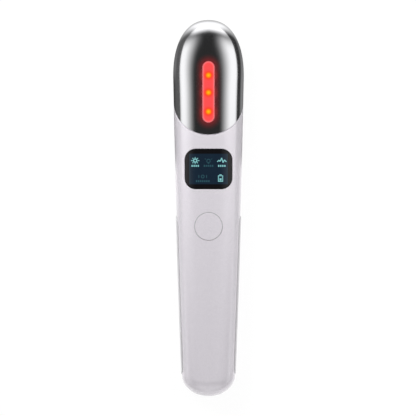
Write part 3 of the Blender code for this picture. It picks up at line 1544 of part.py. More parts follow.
def make_motor_leads():
    """Two wires from the motor's end cap to the main board."""
    radius = FINE_LEAD_RADIUS
    behind = along(MOTOR_BACK - MOTOR_CAP_LENGTH - 2 * SOLDER_GAP - radius)
    for hand, name in ((-1, "left"), (1, "right")):
        across = hand * MOTOR_RADIUS * MOTOR_LEAD_SHARE
        route = [
            (across, behind, SEAM_HEIGHT),
            (across, behind, ON_BOARD),
            (across + hand * radius, along(BOARD_END - 2 * radius), ON_BOARD + 2 * radius),
            (across + hand * 3 * radius, along(BOARD_END - 6 * radius), ON_BOARD + radius),
        ]
        wire("motor_lead_" + name, route, radius)


def make_heater_leads():
    """Two wires from the heater and its sensor, past the lamp board, to the main board."""
    radius = FINE_LEAD_RADIUS
    reach = LAMP_BOARD_WIDTH / 2 + SEAT_GAP + radius
    over = LAMP_BOARD_TOP + SEAT_GAP + radius
    station = BODY_LENGTH - HEATER_TO_TIP
    sensor_height = sensor_place()[2]
    board_low = WINDOW_STATION + LAMP_BOARD_SHIFT - LAMP_BOARD_LENGTH / 2
    for hand, name in ((-1, "left"), (1, "right")):
        start = THERMISTOR_LENGTH / 2 + SEAT_GAP + radius
        across = hand * reach
        route = [
            (hand * start, along(station), sensor_height),
            (
                across * HEATER_SWING_SHARE,
                along(station - HEATER_LENGTH / 2),
                (sensor_height + over) / 2,
            ),
            (across, along(station - HEATER_LENGTH), over),
            (across, along(WINDOW_STATION), over),
            (across, along(board_low + 2 * LEAD_SPACING), over),
            (across, along(board_low - LEAD_SPACING / 2), LAMP_BOARD_TOP - LEAD_SPACING / 2),
            (across, along(BOARD_END + LEAD_SPACING / 2), ON_BOARD + LEAD_SPACING),
            (across, along(BOARD_END - LEAD_SPACING / 2), ON_BOARD + radius),
        ]
        wire("heater_lead_" + name, route, radius)


def make_head_lead():
    """A wire from the ring terminal on the metal head to the main board."""
    radius = LEAD_RADIUS
    start = joint_point(
        -HEAD_SCREW_OFFSET, -TERMINAL_RADIUS - SOLDER_GAP - radius, -TERMINAL_THICKNESS / 2
    )
    height = start.z + radius
    route = [
        start,
        (start.x, start.y - 2 * LEAD_SPACING, height),
        (-BOARD_SCREW_OFFSET - radius, along(BOARD_END + 2 * LEAD_SPACING), height),
        (-BOARD_SCREW_OFFSET + radius, along(BOARD_END - 2 * radius), ON_BOARD + radius),
    ]
    wire("head_lead", route, radius)


def make_lamp_ribbon():
    """A flat ribbon from the lamp board's lower end, bent down on to the main board."""
    under_lamps = LAMP_BOARD_BOTTOM - SOLDER_GAP - RIBBON_THICKNESS / 2
    on_main = ON_BOARD + RIBBON_THICKNESS / 2
    lamp_end = WINDOW_STATION + LAMP_BOARD_SHIFT - LAMP_BOARD_LENGTH / 2
    crest = MOTOR_BACK - MOTOR_CAP_LENGTH - RIBBON_BEND
    upper_bend, lower_bend = [], []
    for step in range(BEND_STEPS + 1):
        angle = math.pi / 2 * step / BEND_STEPS
        less_sine = RIBBON_BEND * (1 - math.sin(angle))
        less_cosine = RIBBON_BEND * (1 - math.cos(angle))
        upper_bend.append((along(crest) + less_sine, under_lamps - less_cosine))
        lower_bend.append((along(crest) - less_cosine, on_main + less_sine))
    line = [
        (along(lamp_end + 2 * RIBBON_BEND), under_lamps),
        *upper_bend,
        *lower_bend,
        (along(crest - 3 * RIBBON_BEND), on_main),
    ]
    ribbon = strip("ribbon", line, RIBBON_THICKNESS, RIBBON_WIDTH, (0, 0, 0), ALONG_X)
    finish(ribbon, "lamp_ribbon", AMBER_FILM)


make_front_housing()
make_rear_housing()
make_grip_electrodes()
make_display()
make_button()
make_switch()
make_head()
make_light_window()
make_heater()
make_bracket()
make_head_screws()
make_motor()
make_main_board()
make_board_parts()
make_battery()
make_port()
make_battery_leads()
make_charge_leads()
make_motor_leads()
make_heater_leads()
make_head_lead()
make_lamp_ribbon()
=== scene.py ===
# %% [markdown]
# # Dressing an eye massager
# The model is a hand-held eye massager: a tapering moulded handle with a small screen and one
# button, and a plated metal head with a red light window. The construction is already built and
# packed as a fixed frame, so this lesson adds only what the eye sees. Everything is in metres,
# with the massager on its back: +X is its right side, +Y its head end and +Z its front.
# %% Load the frame
import math

import bmesh
import bpy
from mathutils import Matrix, Vector


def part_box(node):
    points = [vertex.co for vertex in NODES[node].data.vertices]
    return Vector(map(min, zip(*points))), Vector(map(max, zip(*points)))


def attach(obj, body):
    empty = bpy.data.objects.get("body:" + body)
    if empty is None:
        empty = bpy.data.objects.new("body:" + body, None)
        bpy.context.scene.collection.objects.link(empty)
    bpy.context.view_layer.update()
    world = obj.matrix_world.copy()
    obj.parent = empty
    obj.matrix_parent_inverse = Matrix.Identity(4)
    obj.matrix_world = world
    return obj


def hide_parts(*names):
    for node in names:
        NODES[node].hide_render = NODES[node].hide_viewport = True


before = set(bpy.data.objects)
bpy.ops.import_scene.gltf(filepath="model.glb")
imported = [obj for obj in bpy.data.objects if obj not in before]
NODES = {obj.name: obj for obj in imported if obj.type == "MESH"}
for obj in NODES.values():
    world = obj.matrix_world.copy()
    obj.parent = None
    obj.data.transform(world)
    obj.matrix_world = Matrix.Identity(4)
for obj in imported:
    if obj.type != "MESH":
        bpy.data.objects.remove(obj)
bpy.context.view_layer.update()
MM = 0.001

# %% [markdown]
# The outside is one smooth form that tapers towards the plain end and closes at both ends.
# It could be sculpted or lofted from drawn sections. A formula is shorter and exact: each
# section is a superellipse, flatter at the back, whose width and depth follow the length. The
# same formula then tells every inlay how high the surface is beneath it.
# %% The form as a formula
BODY_LENGTH = 150.5 * MM
SEAM_HEIGHT = 10.0 * MM
END_HALF_WIDTH, HEAD_HALF_WIDTH, WIDTH_BOW = 10.28 * MM, 14.57 * MM, 0.46 * MM
END_FRONT_DEPTH, HEAD_FRONT_DEPTH, FRONT_BOW = 9.2 * MM, 12.6 * MM, 0.3 * MM
BACK_DEPTH = 10.3 * MM
END_ROUND_WIDTH, HEAD_ROUND_WIDTH = 8.35 * MM, 23.7 * MM
END_ROUND_DEPTH, HEAD_ROUND_FRONT, HEAD_ROUND_BACK = 6.5 * MM, 34.0 * MM, 40.0 * MM
END_POWER, HEAD_POWER, DEPTH_POWER = 2.0, 2.25, 2.1
FRONT_POWER, BACK_POWER = 2.0, 2.6
HEAD_SIDE_LENGTH = 33.6 * MM  # tip to the head's joint, along the sides
HEAD_FRONT_DROP = 12.6 * MM  # how much further down the joint reaches on the front
PROBE = 0.02 * MM  # how far apart the form is tried, to find which way it faces
WIDTH_TRIM, FRONT_TRIM = 0.998, 0.9955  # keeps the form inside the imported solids, whose facets cut corners
END_TRIM = 0.16 * MM  # how much shorter their plain end is
CROWN_STATIONS = range(60, 150)  # millimetres from the plain end


def along(station):
    """Place on the Y axis of a station measured from the plain end."""
    return station - BODY_LENGTH / 2


def taper(at_end, at_head, bow, share):
    return at_end + (at_head - at_end) * share + 4 * bow * share * (1 - share)


def closing(distance, length, power):
    """1 along the body, falling to 0 at an end, as a superellipse does."""
    if distance >= length:
        return 1.0
    return max(0.0, 1 - (1 - distance / length) ** power) ** (1 / power)


def section(share, inset=0.0):
    """Half width, front depth and back depth of the form that lies inset within the outside."""
    from_end = share * BODY_LENGTH
    from_head = BODY_LENGTH - from_end
    width = taper(END_HALF_WIDTH, HEAD_HALF_WIDTH, WIDTH_BOW, share) - inset
    front = taper(END_FRONT_DEPTH, HEAD_FRONT_DEPTH, FRONT_BOW, share) - inset
    back = BACK_DEPTH - inset
    width *= closing(from_end, END_ROUND_WIDTH, END_POWER)
    width *= closing(from_head, HEAD_ROUND_WIDTH, HEAD_POWER)
    end_closing = closing(from_end, END_ROUND_DEPTH, DEPTH_POWER)
    front *= end_closing * closing(from_head, HEAD_ROUND_FRONT, DEPTH_POWER)
    back *= end_closing * closing(from_head, HEAD_ROUND_BACK, DEPTH_POWER)
    return width * WIDTH_TRIM, front * FRONT_TRIM, back


def front_height(x, y):
    """Height of the front over a point of the plan."""
    width, front, _ = section((y + BODY_LENGTH / 2) / BODY_LENGTH)
    return SEAM_HEIGHT + front * max(0.0, 1 - (abs(x) / width) ** FRONT_POWER) ** (1 / FRONT_POWER)


def side_reach(y, z):
    """How far the flank stands out from the middle at a place seen from the side."""
    width, front, back = section((y + BODY_LENGTH / 2) / BODY_LENGTH)
    rise = z - SEAM_HEIGHT
    depth, power = (front, FRONT_POWER) if rise > 0 else (back, BACK_POWER)
    return width * max(0.0, 1 - (abs(rise) / depth) ** power) ** (1 / power)


def form_value(point):
    """Below 1 within the outside form and above 1 beyond it."""
    share = min(max((point.y + BODY_LENGTH / 2) / BODY_LENGTH, 0.0001), 0.9999)
    width, front, back = section(share)
    rise = point.z - SEAM_HEIGHT
    depth, power = (front, FRONT_POWER) if rise > 0 else (back, BACK_POWER)
    return (abs(point.x) / width) ** power + (abs(rise) / depth) ** power


def form_normal(point):
    """The way the form's surface faces, from how its value changes round a point."""
    steps = (Vector((PROBE, 0, 0)), Vector((0, PROBE, 0)), Vector((0, 0, PROBE)))
    change = [form_value(point + step) - form_value(point - step) for step in steps]
    return Vector(change).normalized()


CROWN = max(front_height(0, along(step * MM)) for step in CROWN_STATIONS)
print("highest point of the form:", round(CROWN / MM, 2), "mm")

# %% [markdown]
# A skin is this form as a closed mesh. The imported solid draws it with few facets. A plated head
# mirrors the room, and mirrors show every facet, so this one has many. Its rings crowd together
# where the form closes, because that is where it curves most.
# %% Skins
AROUND = 144
END_RINGS, BODY_RINGS, HEAD_RINGS = 18, 36, 52


def signed_power(value, power):
    return math.copysign(abs(value) ** power, value)


def ring_shares():
    """Shares of the length that carry a ring."""
    end_span = END_ROUND_WIDTH / BODY_LENGTH
    head_span = HEAD_ROUND_BACK / BODY_LENGTH
    quarter = math.pi / 2
    shares = [end_span * (1 - math.cos(quarter * n / END_RINGS)) for n in range(1, END_RINGS + 1)]
    middle_span = 1 - end_span - head_span
    shares += [end_span + middle_span * n / BODY_RINGS for n in range(1, BODY_RINGS)]
    shares += [1 - head_span * (1 - math.cos(quarter * n / HEAD_RINGS)) for n in range(HEAD_RINGS, 0, -1)]
    return shares


def added(bm, name):
    """The mesh being built, as an object in the scene."""
    mesh = bpy.data.meshes.new(name)
    bm.to_mesh(mesh)
    bm.free()
    made = bpy.data.objects.new(name, mesh)
    bpy.context.scene.collection.objects.link(made)
    return made


def skin(inset=0.0, name="skin"):
    """The closed outside form, or the like form that lies inset within it."""
    bm = bmesh.new()
    rings = []
    for share in ring_shares():
        width, front, back = section(share, inset)
        place = along(inset + share * (BODY_LENGTH - 2 * inset))
        ring = []
        for step in range(AROUND):
            angle = 2 * math.pi * (step + 0.5) / AROUND
            rise = math.sin(angle)
            depth, power = (front, FRONT_POWER) if rise > 0 else (back, BACK_POWER)
            across = width * signed_power(math.cos(angle), 2 / power)
            ring.append(bm.verts.new((across, place, SEAM_HEIGHT + depth * signed_power(rise, 2 / power))))
        rings.append(ring)
    poles = [bm.verts.new((0, along(end), SEAM_HEIGHT)) for end in (inset, BODY_LENGTH - inset)]
    for step in range(AROUND):
        after = (step + 1) % AROUND
        bm.faces.new((poles[0], rings[0][after], rings[0][step]))
        bm.faces.new((poles[1], rings[-1][step], rings[-1][after]))
        for low, high in zip(rings, rings[1:]):
            bm.faces.new((low[step], low[after], high[after], high[step]))
    bmesh.ops.recalc_face_normals(bm, faces=bm.faces)
    return added(bm, name)


print("a skin has", len(ring_shares()), "rings of", AROUND, "points")

# %% [markdown]
# Each shell is cut from a skin, the way a mould is made: a solid minus what isn't there. Boolean
# modifiers do it, applied one at a time, and each tool is removed once it has cut.
# %% Cutting tools
FAR = BODY_LENGTH
OUTSIDE, CUT_FACE = 0, 1  # the two kinds of face, kept as material indices while cutting


def combine(target, tool, operation):
    for face in tool.data.polygons:
        face.material_index = CUT_FACE
    modifier = target.modifiers.new(operation.lower(), "BOOLEAN")
    modifier.operation = operation
    modifier.object = tool
    bpy.context.view_layer.update()
    graph = bpy.context.evaluated_depsgraph_get()
    mesh = bpy.data.meshes.new_from_object(target.evaluated_get(graph))
    target.modifiers.clear()
    target.data = mesh
    bpy.data.objects.remove(tool)
    return target


def cut(target, *tools):
    for tool in tools:
        combine(target, tool, "DIFFERENCE")
    return target


def keep(target, *tools):
    for tool in tools:
        combine(target, tool, "INTERSECT")
    return target


def block(low, high, turn=None):
    """A box between two corners, turned if a matrix is given."""
    low, high = Vector(low), Vector(high)
    bm = bmesh.new()
    bmesh.ops.create_cube(bm, size=1)
    bmesh.ops.scale(bm, verts=bm.verts, vec=high - low)
    bmesh.ops.translate(bm, verts=bm.verts, vec=(low + high) / 2)
    bmesh.ops.transform(bm, verts=bm.verts, matrix=turn or Matrix.Identity(4))
    return added(bm, "block")


def between_heights(low, high):
    return block((-FAR, -FAR, low), (FAR, FAR, high))


HEAD_EDGE_Y = along(BODY_LENGTH - HEAD_SIDE_LENGTH - HEAD_FRONT_DROP)
JOINT_TILT = math.atan(HEAD_FRONT_DROP / (front_height(0, HEAD_EDGE_Y) - SEAM_HEIGHT))
JOINT_MIDDLE = (0, along(BODY_LENGTH - HEAD_SIDE_LENGTH), SEAM_HEIGHT)
JOINT = Matrix.Translation(JOINT_MIDDLE) @ Matrix.Rotation(JOINT_TILT - math.pi / 2, 4, "X")


def between_joint_planes(low, high):
    """The space between two planes that lie along the head's slanting joint."""
    return block((-FAR, -FAR, low), (FAR, FAR, high), JOINT)


JOINT_GAP = 0.2 * MM
JOINT_CHAMFER = 0.16 * MM
JOINT_POINTS = 132
HALVINGS = 40


def joint_outline(out):
    """Where the form meets the plane that lies out from the head's joint, by halving."""
    points = []
    for step in range(JOINT_POINTS):
        angle = 2 * math.pi * step / JOINT_POINTS
        inner, outer = 0.0, 2 * HEAD_HALF_WIDTH
        for _ in range(HALVINGS):
            middle = (inner + outer) / 2
            point = JOINT @ Vector((middle * math.cos(angle), middle * math.sin(angle), out))
            if form_value(point) < 1:
                inner = middle
            else:
                outer = middle
        points.append(point)
    return points


def joint_chamfer(side):
    """A thin ring that takes the corner off the housing's (-1) or the head's (1) edge."""
    plane_normal = (JOINT.to_3x3() @ Vector((0, 0, 1))).normalized()
    bm = bmesh.new()
    rows = []
    for point in joint_outline(side * JOINT_GAP / 2):
        out = form_normal(point)
        on = (-side * (plane_normal - out * plane_normal.dot(out))).normalized()
        slope = (out - on) * JOINT_CHAMFER
        corners = (
            point - on * JOINT_CHAMFER + slope,
            point - out * JOINT_CHAMFER - slope,
            point + (out + on) * 2 * JOINT_CHAMFER,
        )
        rows.append([bm.verts.new(corner) for corner in corners])
    for index in range(JOINT_POINTS):
        row, after = rows[index], rows[(index + 1) % JOINT_POINTS]
        for corner in range(3):
            following = (corner + 1) % 3
            bm.faces.new((row[corner], row[following], after[following], after[corner]))
    bmesh.ops.recalc_face_normals(bm, faces=bm.faces)
    return added(bm, "joint_chamfer")


print("the head's joint slants by", round(math.degrees(JOINT_TILT), 1), "degrees")

# %% [markdown]
# The screen's lens and the light window sit flush in openings, the button nearly so, and each has
# a small round on its edge. A bevel on a cut mesh tears easily. Here the plug that cuts or keeps is
# already rounded: its rings follow the front's curve at set heights above and below it.
# %% Draped plugs
CORNER_STEPS = 10
EDGE_STEPS = 10
ROUND_STEPS = 4
SHORTEST_SIDE = 0.1 * MM  # a shorter side of an outline gets no points of its own
PLUG_DEPTH = 4.0 * MM
PLUG_TOP = CROWN + 3.0 * MM
BEYOND_SHARE = 0.5  # how far a plug runs straight on past its round, of the round's radius
ROUND_END = math.radians(60)  # the round stops short of level, so it meets the skin cleanly


def rounded_outline(width, height, corner):
    """Points round a rectangle with round corners, anticlockwise, with points on its sides too."""
    corners = []
    for quarter, (sx, sy) in enumerate(((1, 1), (-1, 1), (-1, -1), (1, -1))):
        middle = Vector((sx * (width / 2 - corner), sy * (height / 2 - corner)))
        for step in range(CORNER_STEPS + 1):
            angle = math.pi / 2 * (quarter + step / CORNER_STEPS)
            corners.append(middle + corner * Vector((math.cos(angle), math.sin(angle))))
    points = []
    for index, point in enumerate(corners):
        points.append(point)
        after = corners[(index + 1) % len(corners)]
        if index % (CORNER_STEPS + 1) == CORNER_STEPS and (after - point).length > SHORTEST_SIDE:
            points += [point.lerp(after, step / EDGE_STEPS) for step in range(1, EDGE_STEPS)]
    return points


def on_front(across, ahead, rise):
    """A point over the front; without a rise, it is well above everything."""
    height = PLUG_TOP if rise is None else front_height(across, ahead) + rise
    return (across, ahead, height)


def on_flank(hand):
    """Gives the like function for the left (-1) or right (1) flank."""
    def place(ahead, up, rise):
        reach = PLUG_TOP if rise is None else side_reach(ahead, SEAM_HEIGHT + up) + rise
        return (hand * reach, ahead, SEAM_HEIGHT + up)
    return place


def plug(middle, size, corner, rings, place=on_front):
    """A closed plug through a surface: each ring is a margin and a rise over the surface."""
    bm = bmesh.new()
    loops = []
    for margin, rise in [*rings, (rings[-1][0], None)]:
        outline = rounded_outline(size[0] + 2 * margin, size[1] + 2 * margin, corner + margin)
        loops.append([bm.verts.new(place(middle[0] + a, middle[1] + b, rise)) for a, b in outline])
    for low, high in zip(loops, loops[1:]):
        for index in range(len(low)):
            after = (index + 1) % len(low)
            bm.faces.new((low[index], low[after], high[after], high[index]))
    caps = [bm.faces.new(loops[0][::-1]), bm.faces.new(loops[-1])]
    bmesh.ops.triangulate(bm, faces=caps)
    bmesh.ops.recalc_face_normals(bm, faces=bm.faces)
    return added(bm, "plug")


def edge_round(margin, radius, outward, proud=0.0):
    """Rings of a plug whose edge is rounded out of a hole, or rounded over on an inlay."""
    way = 1 if outward else -1
    rings = [(margin, -PLUG_DEPTH)]
    for step in range(ROUND_STEPS + 1):
        angle = ROUND_END * step / ROUND_STEPS
        slip, drop = radius * (1 - math.cos(angle)), radius * (1 - math.sin(angle))
        rings.append((margin + way * slip, proud - drop))
    last_margin, last_rise = rings[-1]
    beyond = BEYOND_SHARE * radius
    aside, above = beyond * math.sin(ROUND_END), beyond * math.cos(ROUND_END)
    rings.append((last_margin + way * aside, last_rise + above))
    return rings


print("a rounded edge has", ROUND_STEPS, "facets")

# %% [markdown]
# A material is a small network of nodes. Written node by node it is long and hard to read, so
# this class wraps one socket and lets Python's own operators add the Math nodes. A texture, a
# ramp or any other node comes from one method.
# %% Shader maths
class Flow:
    """One value, vector or colour on its way through a material's nodes."""

    def __init__(self, tree, source=None):
        self.tree = tree
        self.source = source

    def node(self, kind, settings=None, inputs=None, output=0):
        """Adds a node of any type: its settings first, then its sockets' values or links."""
        made = self.tree.nodes.new(kind)
        for name, value in (settings or {}).items():
            setattr(made, name, value)
        for name, value in (inputs or {}).items():
            if isinstance(value, Flow):
                self.tree.links.new(value.source, made.inputs[name])
            else:
                made.inputs[name].default_value = value
        return Flow(self.tree, made.outputs[output])

    def maths(self, operation, first, second=None):
        inputs = {0: first} if second is None else {0: first, 1: second}
        return self.node("ShaderNodeMath", {"operation": operation}, inputs)

    def __add__(self, other):
        return self.maths("ADD", self, other)

    def __sub__(self, other):
        return self.maths("SUBTRACT", self, other)

    def __rsub__(self, other):
        return self.maths("SUBTRACT", other, self)

    def __mul__(self, other):
        return self.maths("MULTIPLY", self, other)

    def __truediv__(self, other):
        return self.maths("DIVIDE", self, other)

    def __abs__(self):
        return self.maths("ABSOLUTE", self)

    __radd__ = __add__
    __rmul__ = __mul__

    def ramp(self, low, high):
        """0 below low and 1 above high, with a smooth step between them."""
        settings = {"interpolation_type": "SMOOTHSTEP"}
        inputs = {"Value": self, "From Min": low, "From Max": high}
        return self.node("ShaderNodeMapRange", settings, inputs)

    def colour(self, first, second):
        """A colour that goes from first to second as this value goes from 0 to 1."""
        inputs = {0: self}
        for socket, value in ((6, first), (7, second)):
            inputs[socket] = value if isinstance(value, Flow) else (*value, 1)
        return self.node("ShaderNodeMix", {"data_type": "RGBA"}, inputs, output=2)

    def part(self, axis):
        """One number of a vector."""
        return self.node("ShaderNodeSeparateXYZ", inputs={0: self}, output=axis)


def places(tree):
    """The x, y and z of the point being shaded, in the frame's metres."""
    spot = Flow(tree).node("ShaderNodeTexCoord", output="Object")
    return [spot.part(axis) for axis in "XYZ"]


def noise(tree, grain, detail=2.0, stretch=(1, 1, 1)):
    """Noise whose grain is a real size, finer or coarser along some axes."""
    flow = Flow(tree)
    spot = flow.node("ShaderNodeTexCoord", output="Object")
    scaled = flow.node("ShaderNodeVectorMath", {"operation": "MULTIPLY"}, {0: spot, 1: stretch})
    inputs = {"Vector": scaled, "Scale": 1 / grain, "Detail": detail}
    return flow.node("ShaderNodeTexNoise", inputs=inputs, output="Fac")


def shader_of(name, **constants):
    """A new material's tree and its Principled shader, with the sockets that stay the same."""
    made = bpy.data.materials.new(name)
    made.use_nodes = True
    shader = made.node_tree.nodes["Principled BSDF"]
    for socket, value in constants.items():
        title = socket.replace("_", " ").title().replace("Ior", "IOR")
        shader.inputs[title].default_value = value
    return made, made.node_tree, shader


def feed(tree, shader, **flows):
    """Links what varies over the surface to the shader's sockets."""
    for socket, flow in flows.items():
        tree.links.new(flow.source, shader.inputs[socket.replace("_", " ").title()])


def bump(tree, height, distance, strength):
    return Flow(tree).node(
        "ShaderNodeBump", inputs={"Height": height, "Distance": distance, "Strength": strength}
    )


print("shader helpers ready")

# %% [markdown]
# The handle is injection moulded and sprayed with a pale pearl lacquer. Close up, such a coat
# has the faint waviness of sprayed paint, very fine flake that tints it, and a clear gloss
# layer. The noise stays small, because the finish reads as even from a step away.
# %% Pearl lacquer
PEARL = (0.855, 0.815, 0.870)
PEARL_DEEP = (0.825, 0.788, 0.842)
FLAKE_SHARE = 0.20  # how much of the coat mirrors, as metal flakes do
FLAKE_GRAIN = 0.12 * MM
SPRAY_GRAIN = 1.6 * MM
SPRAY_HEIGHT = 0.004 * MM


def pearl_lacquer():
    made, tree, shader = shader_of("pearl_lacquer", metallic=FLAKE_SHARE, coat_roughness=0.15, coat_ior=1.5)
    flake = noise(tree, FLAKE_GRAIN)
    spray = noise(tree, SPRAY_GRAIN, detail=3.0)
    feed(
        tree,
        shader,
        base_color=(flake * 0.5 + spray * 0.5).ramp(0.3, 0.7).colour(PEARL_DEEP, PEARL),
        roughness=0.27 + 0.06 * (flake - 0.5),
        coat_weight=0.50 + 0.1 * (spray - 0.5),
        normal=bump(tree, spray, SPRAY_HEIGHT, 0.3),
    )
    return made


PEARL_LACQUER = pearl_lacquer()
print("made", PEARL_LACQUER.name)

# %% [markdown]
# The head is zinc or steel, polished and plated. It has no colour of its own: what shows is the
# room. Polishing leaves hair-fine marks along the length, far finer than a pixel, which soften
# the mirror a little. Round the window, the red light on its edge is painted on as emission.
# %% Plated metal
CHROME = (0.800, 0.800, 0.815)
# Painted red light: the plating round the window and its lamps gets a red emission that stands in for the
# window's light falling on it.
PAINTED_RED_GLOW = (0.165, 0.0, 0.002)
PAINTED_LAMP_GLOW = (0.260, 0.004, 0.008)
WINDOW_LOW, WINDOW_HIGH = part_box("light_window")
WINDOW_SIZE = (4.8 * MM, 24.4 * MM)
WINDOW_Y = (WINDOW_LOW.y + WINDOW_HIGH.y) / 2
PAINTED_GLOW_REACH = 3.4 * MM
PAINTED_GLOW_RISE = 3 * MM  # the glow starts over this height above the seam
PAINTED_LAMP_GLOW_NEAR, PAINTED_LAMP_GLOW_REACH = 2.2 * MM, 4.2 * MM
GRAIN_ACROSS = 0.05 * MM
HAIR_STRETCH = (1, 0.02, 1)
WEAR_GRAIN = 9 * MM
CHROME_DEEP = (0.785, 0.785, 0.800)
STRIP_METAL = 0.35
STRIP_PALE, STRIP_DEEP = (0.78, 0.77, 0.79), (0.72, 0.71, 0.73)
LAMP_NAMES = ("red_lamp_1", "red_lamp_2", "red_lamp_3")


def from_window(tree):
    """Distance in the plan from the light window's edge, which is an obround."""
    x, y, _ = places(tree)
    straight = (WINDOW_SIZE[1] - WINDOW_SIZE[0]) / 2
    past = x.maths("MAXIMUM", abs(y - WINDOW_Y) - straight, 0.0)
    reach = x.maths("SQRT", x * x + past * past)
    return reach - WINDOW_SIZE[0] / 2


def from_lamp(tree, name):
    """Distance in the plan from one of the window's three lamps."""
    x, y, _ = places(tree)
    low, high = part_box(name)
    off = y - (low.y + high.y) / 2
    return x.maths("SQRT", x * x + off * off)


def plated_head():
    made, tree, shader = shader_of("plated_head", metallic=1.0, emission_strength=1.0)
    hair = noise(tree, GRAIN_ACROSS, detail=1.0, stretch=HAIR_STRETCH)
    wear = noise(tree, WEAR_GRAIN, detail=3.0)
    _, _, z = places(tree)
    # Painted red light on the metal: near the window and its lamps, above the seam, the plating glows red in
    # its emission.
    near = 1 - z.maths("MAXIMUM", from_window(tree) / PAINTED_GLOW_REACH, 0.0)
    near = z.maths("MAXIMUM", near, 0.0)
    upper = z.ramp(SEAM_HEIGHT, SEAM_HEIGHT + PAINTED_GLOW_RISE)
    glow = (near * near * upper).colour((0, 0, 0), PAINTED_RED_GLOW)
    for name in LAMP_NAMES:
        beside = 1 - from_lamp(tree, name).ramp(PAINTED_LAMP_GLOW_NEAR, PAINTED_LAMP_GLOW_REACH)
        glow = (beside * upper).colour(glow, PAINTED_LAMP_GLOW)
    feed(
        tree,
        shader,
        base_color=wear.colour(CHROME_DEEP, CHROME),
        roughness=0.13 + 0.03 * (wear - 0.5) + 0.02 * (hair - 0.5),
        emission_color=glow,
    )
    return made


def plated_strip():
    made, tree, shader = shader_of("plated_strip", metallic=STRIP_METAL)
    hair = noise(tree, GRAIN_ACROSS, detail=1.0, stretch=HAIR_STRETCH)
    feed(
        tree,
        shader,
        base_color=hair.colour(STRIP_DEEP, STRIP_PALE),
        roughness=0.36 + 0.06 * (hair - 0.5),
    )
    return made


PLATED_HEAD = plated_head()
PLATED_STRIP = plated_strip()
print("made", PLATED_HEAD.name, "and", PLATED_STRIP.name)

# %% [markdown]
# The window is a clear red moulding lit by three lamps from behind. The lamps show through as
# small yellow-orange spots in an orange ring, and the light between them is a softer red that
# turns pink where the moulding is thin at its edge. All of it is light, so it goes to the
# emission colour, worked out from the distance to each lamp.
# %% Lit window
WINDOW_RED = (0.965, 0.080, 0.082)
WINDOW_EDGE = (0.950, 0.175, 0.190)
LAMP_HALO = (0.980, 0.055, 0.006)
LAMP_CORE = (1.0, 0.510, 0.003)
HALO_NEAR, HALO_REACH = 0.8 * MM, 2.5 * MM
CORE_REACH = 1.45 * MM
EDGE_FADE = (-0.9 * MM, -0.2 * MM)
WINDOW_GRAIN = 0.5 * MM
RESIN_DEEP, RESIN_RED = (0.03, 0.001, 0.001), (0.05, 0.002, 0.002)


def lit_window():
    made, tree, shader = shader_of("lit_window", roughness=0.25, emission_strength=1.0)
    edge = from_window(tree).ramp(*EDGE_FADE)
    light = edge.colour(WINDOW_RED, WINDOW_EDGE)
    for name in LAMP_NAMES:
        distance = from_lamp(tree, name)
        light = distance.ramp(HALO_NEAR, HALO_REACH).colour(LAMP_HALO, light)
        light = distance.ramp(0.0, CORE_REACH).colour(LAMP_CORE, light)
    grain = noise(tree, WINDOW_GRAIN)
    feed(tree, shader, base_color=grain.colour(RESIN_DEEP, RESIN_RED), emission_color=light)
    return made


LIT_WINDOW = lit_window()
print("made", LIT_WINDOW.name)

# %% [markdown]
# The screen is a small emissive panel under a black-bordered lens that curves with the front.
# The border is printed on the lens's back, so both read as one dark glossy piece with a navy
# field in it. The symbols are lit, and stand as thin inlays at the lens's surface.
# %% Screen lens and its light
LENS_LOW, LENS_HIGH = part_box("display_lens")
LENS_SIZE = (LENS_HIGH.x - LENS_LOW.x, LENS_HIGH.y - LENS_LOW.y)
LENS_CORNER = 4.3 * MM
LENS_Y = (LENS_LOW.y + LENS_HIGH.y) / 2
VIEW_SIZE = (15.5 * MM, 12.4 * MM)
VIEW_SOFT = 0.25 * MM
BORDER_BLACK = (0.0050, 0.0045, 0.0055)
BORDER_DUST = (0.0070, 0.0065, 0.0075)
FIELD_GRAIN, DUST_GRAIN, DOT_GRAIN = 3 * MM, 0.8 * MM, 0.25 * MM
NAVY = (0.0040, 0.0165, 0.0320)
NAVY_DEEP = (0.0028, 0.0125, 0.0265)
TEAL_EDGE = (0.0100, 0.0360, 0.0520)
TEAL_WIDTH = 0.7 * MM
SYMBOL_BRIGHT = (0.260, 0.640, 0.650)
SYMBOL_DIM = (0.026, 0.092, 0.115)
DOT_DIMMING = 0.82


def screen_glass():
    made, tree, shader = shader_of("screen_glass", ior=1.40, emission_strength=1.0)
    x, y, _ = places(tree)
    inside_x = 1 - abs(x).ramp(VIEW_SIZE[0] / 2 - VIEW_SOFT, VIEW_SIZE[0] / 2)
    inside_y = 1 - abs(y - LENS_Y).ramp(VIEW_SIZE[1] / 2 - VIEW_SOFT, VIEW_SIZE[1] / 2)
    field = noise(tree, FIELD_GRAIN).colour(NAVY_DEEP, NAVY)
    side_edge = abs(x).ramp(VIEW_SIZE[0] / 2 - TEAL_WIDTH, VIEW_SIZE[0] / 2)
    field = side_edge.colour(field, TEAL_EDGE)
    dust = noise(tree, DUST_GRAIN)
    feed(
        tree,
        shader,
        base_color=dust.colour(BORDER_BLACK, BORDER_DUST),
        roughness=0.07 + 0.04 * dust,
        emission_color=(inside_x * inside_y).colour((0, 0, 0), field),
    )
    return made


def symbol_light(name, light):
    made, tree, shader = shader_of(name, roughness=0.2, emission_strength=1.0)
    dots = noise(tree, DOT_GRAIN)
    dimmer = tuple(DOT_DIMMING * value for value in light)
    dark = dots.colour((0, 0, 0), (0.01, 0.01, 0.01))
    feed(tree, shader, base_color=dark, emission_color=dots.colour(dimmer, light))
    return made


SCREEN_GLASS = screen_glass()
BRIGHT = symbol_light("symbol_bright", SYMBOL_BRIGHT)
DIM = symbol_light("symbol_dim", SYMBOL_DIM)
print("lens is", [round(side / MM, 1) for side in LENS_SIZE], "mm")

# %% [markdown]
# Now the visible pieces. Each new piece is given its finish, joined to the body that it moves
# with, and shaded smooth except at its real edges; the imported solid that it stands for is hidden.
# %% Dressing a piece
SMOOTH_ANGLE = math.radians(32)
POLE_MARGIN = 0.5 * MM  # the form's own normal isn't defined at its very ends


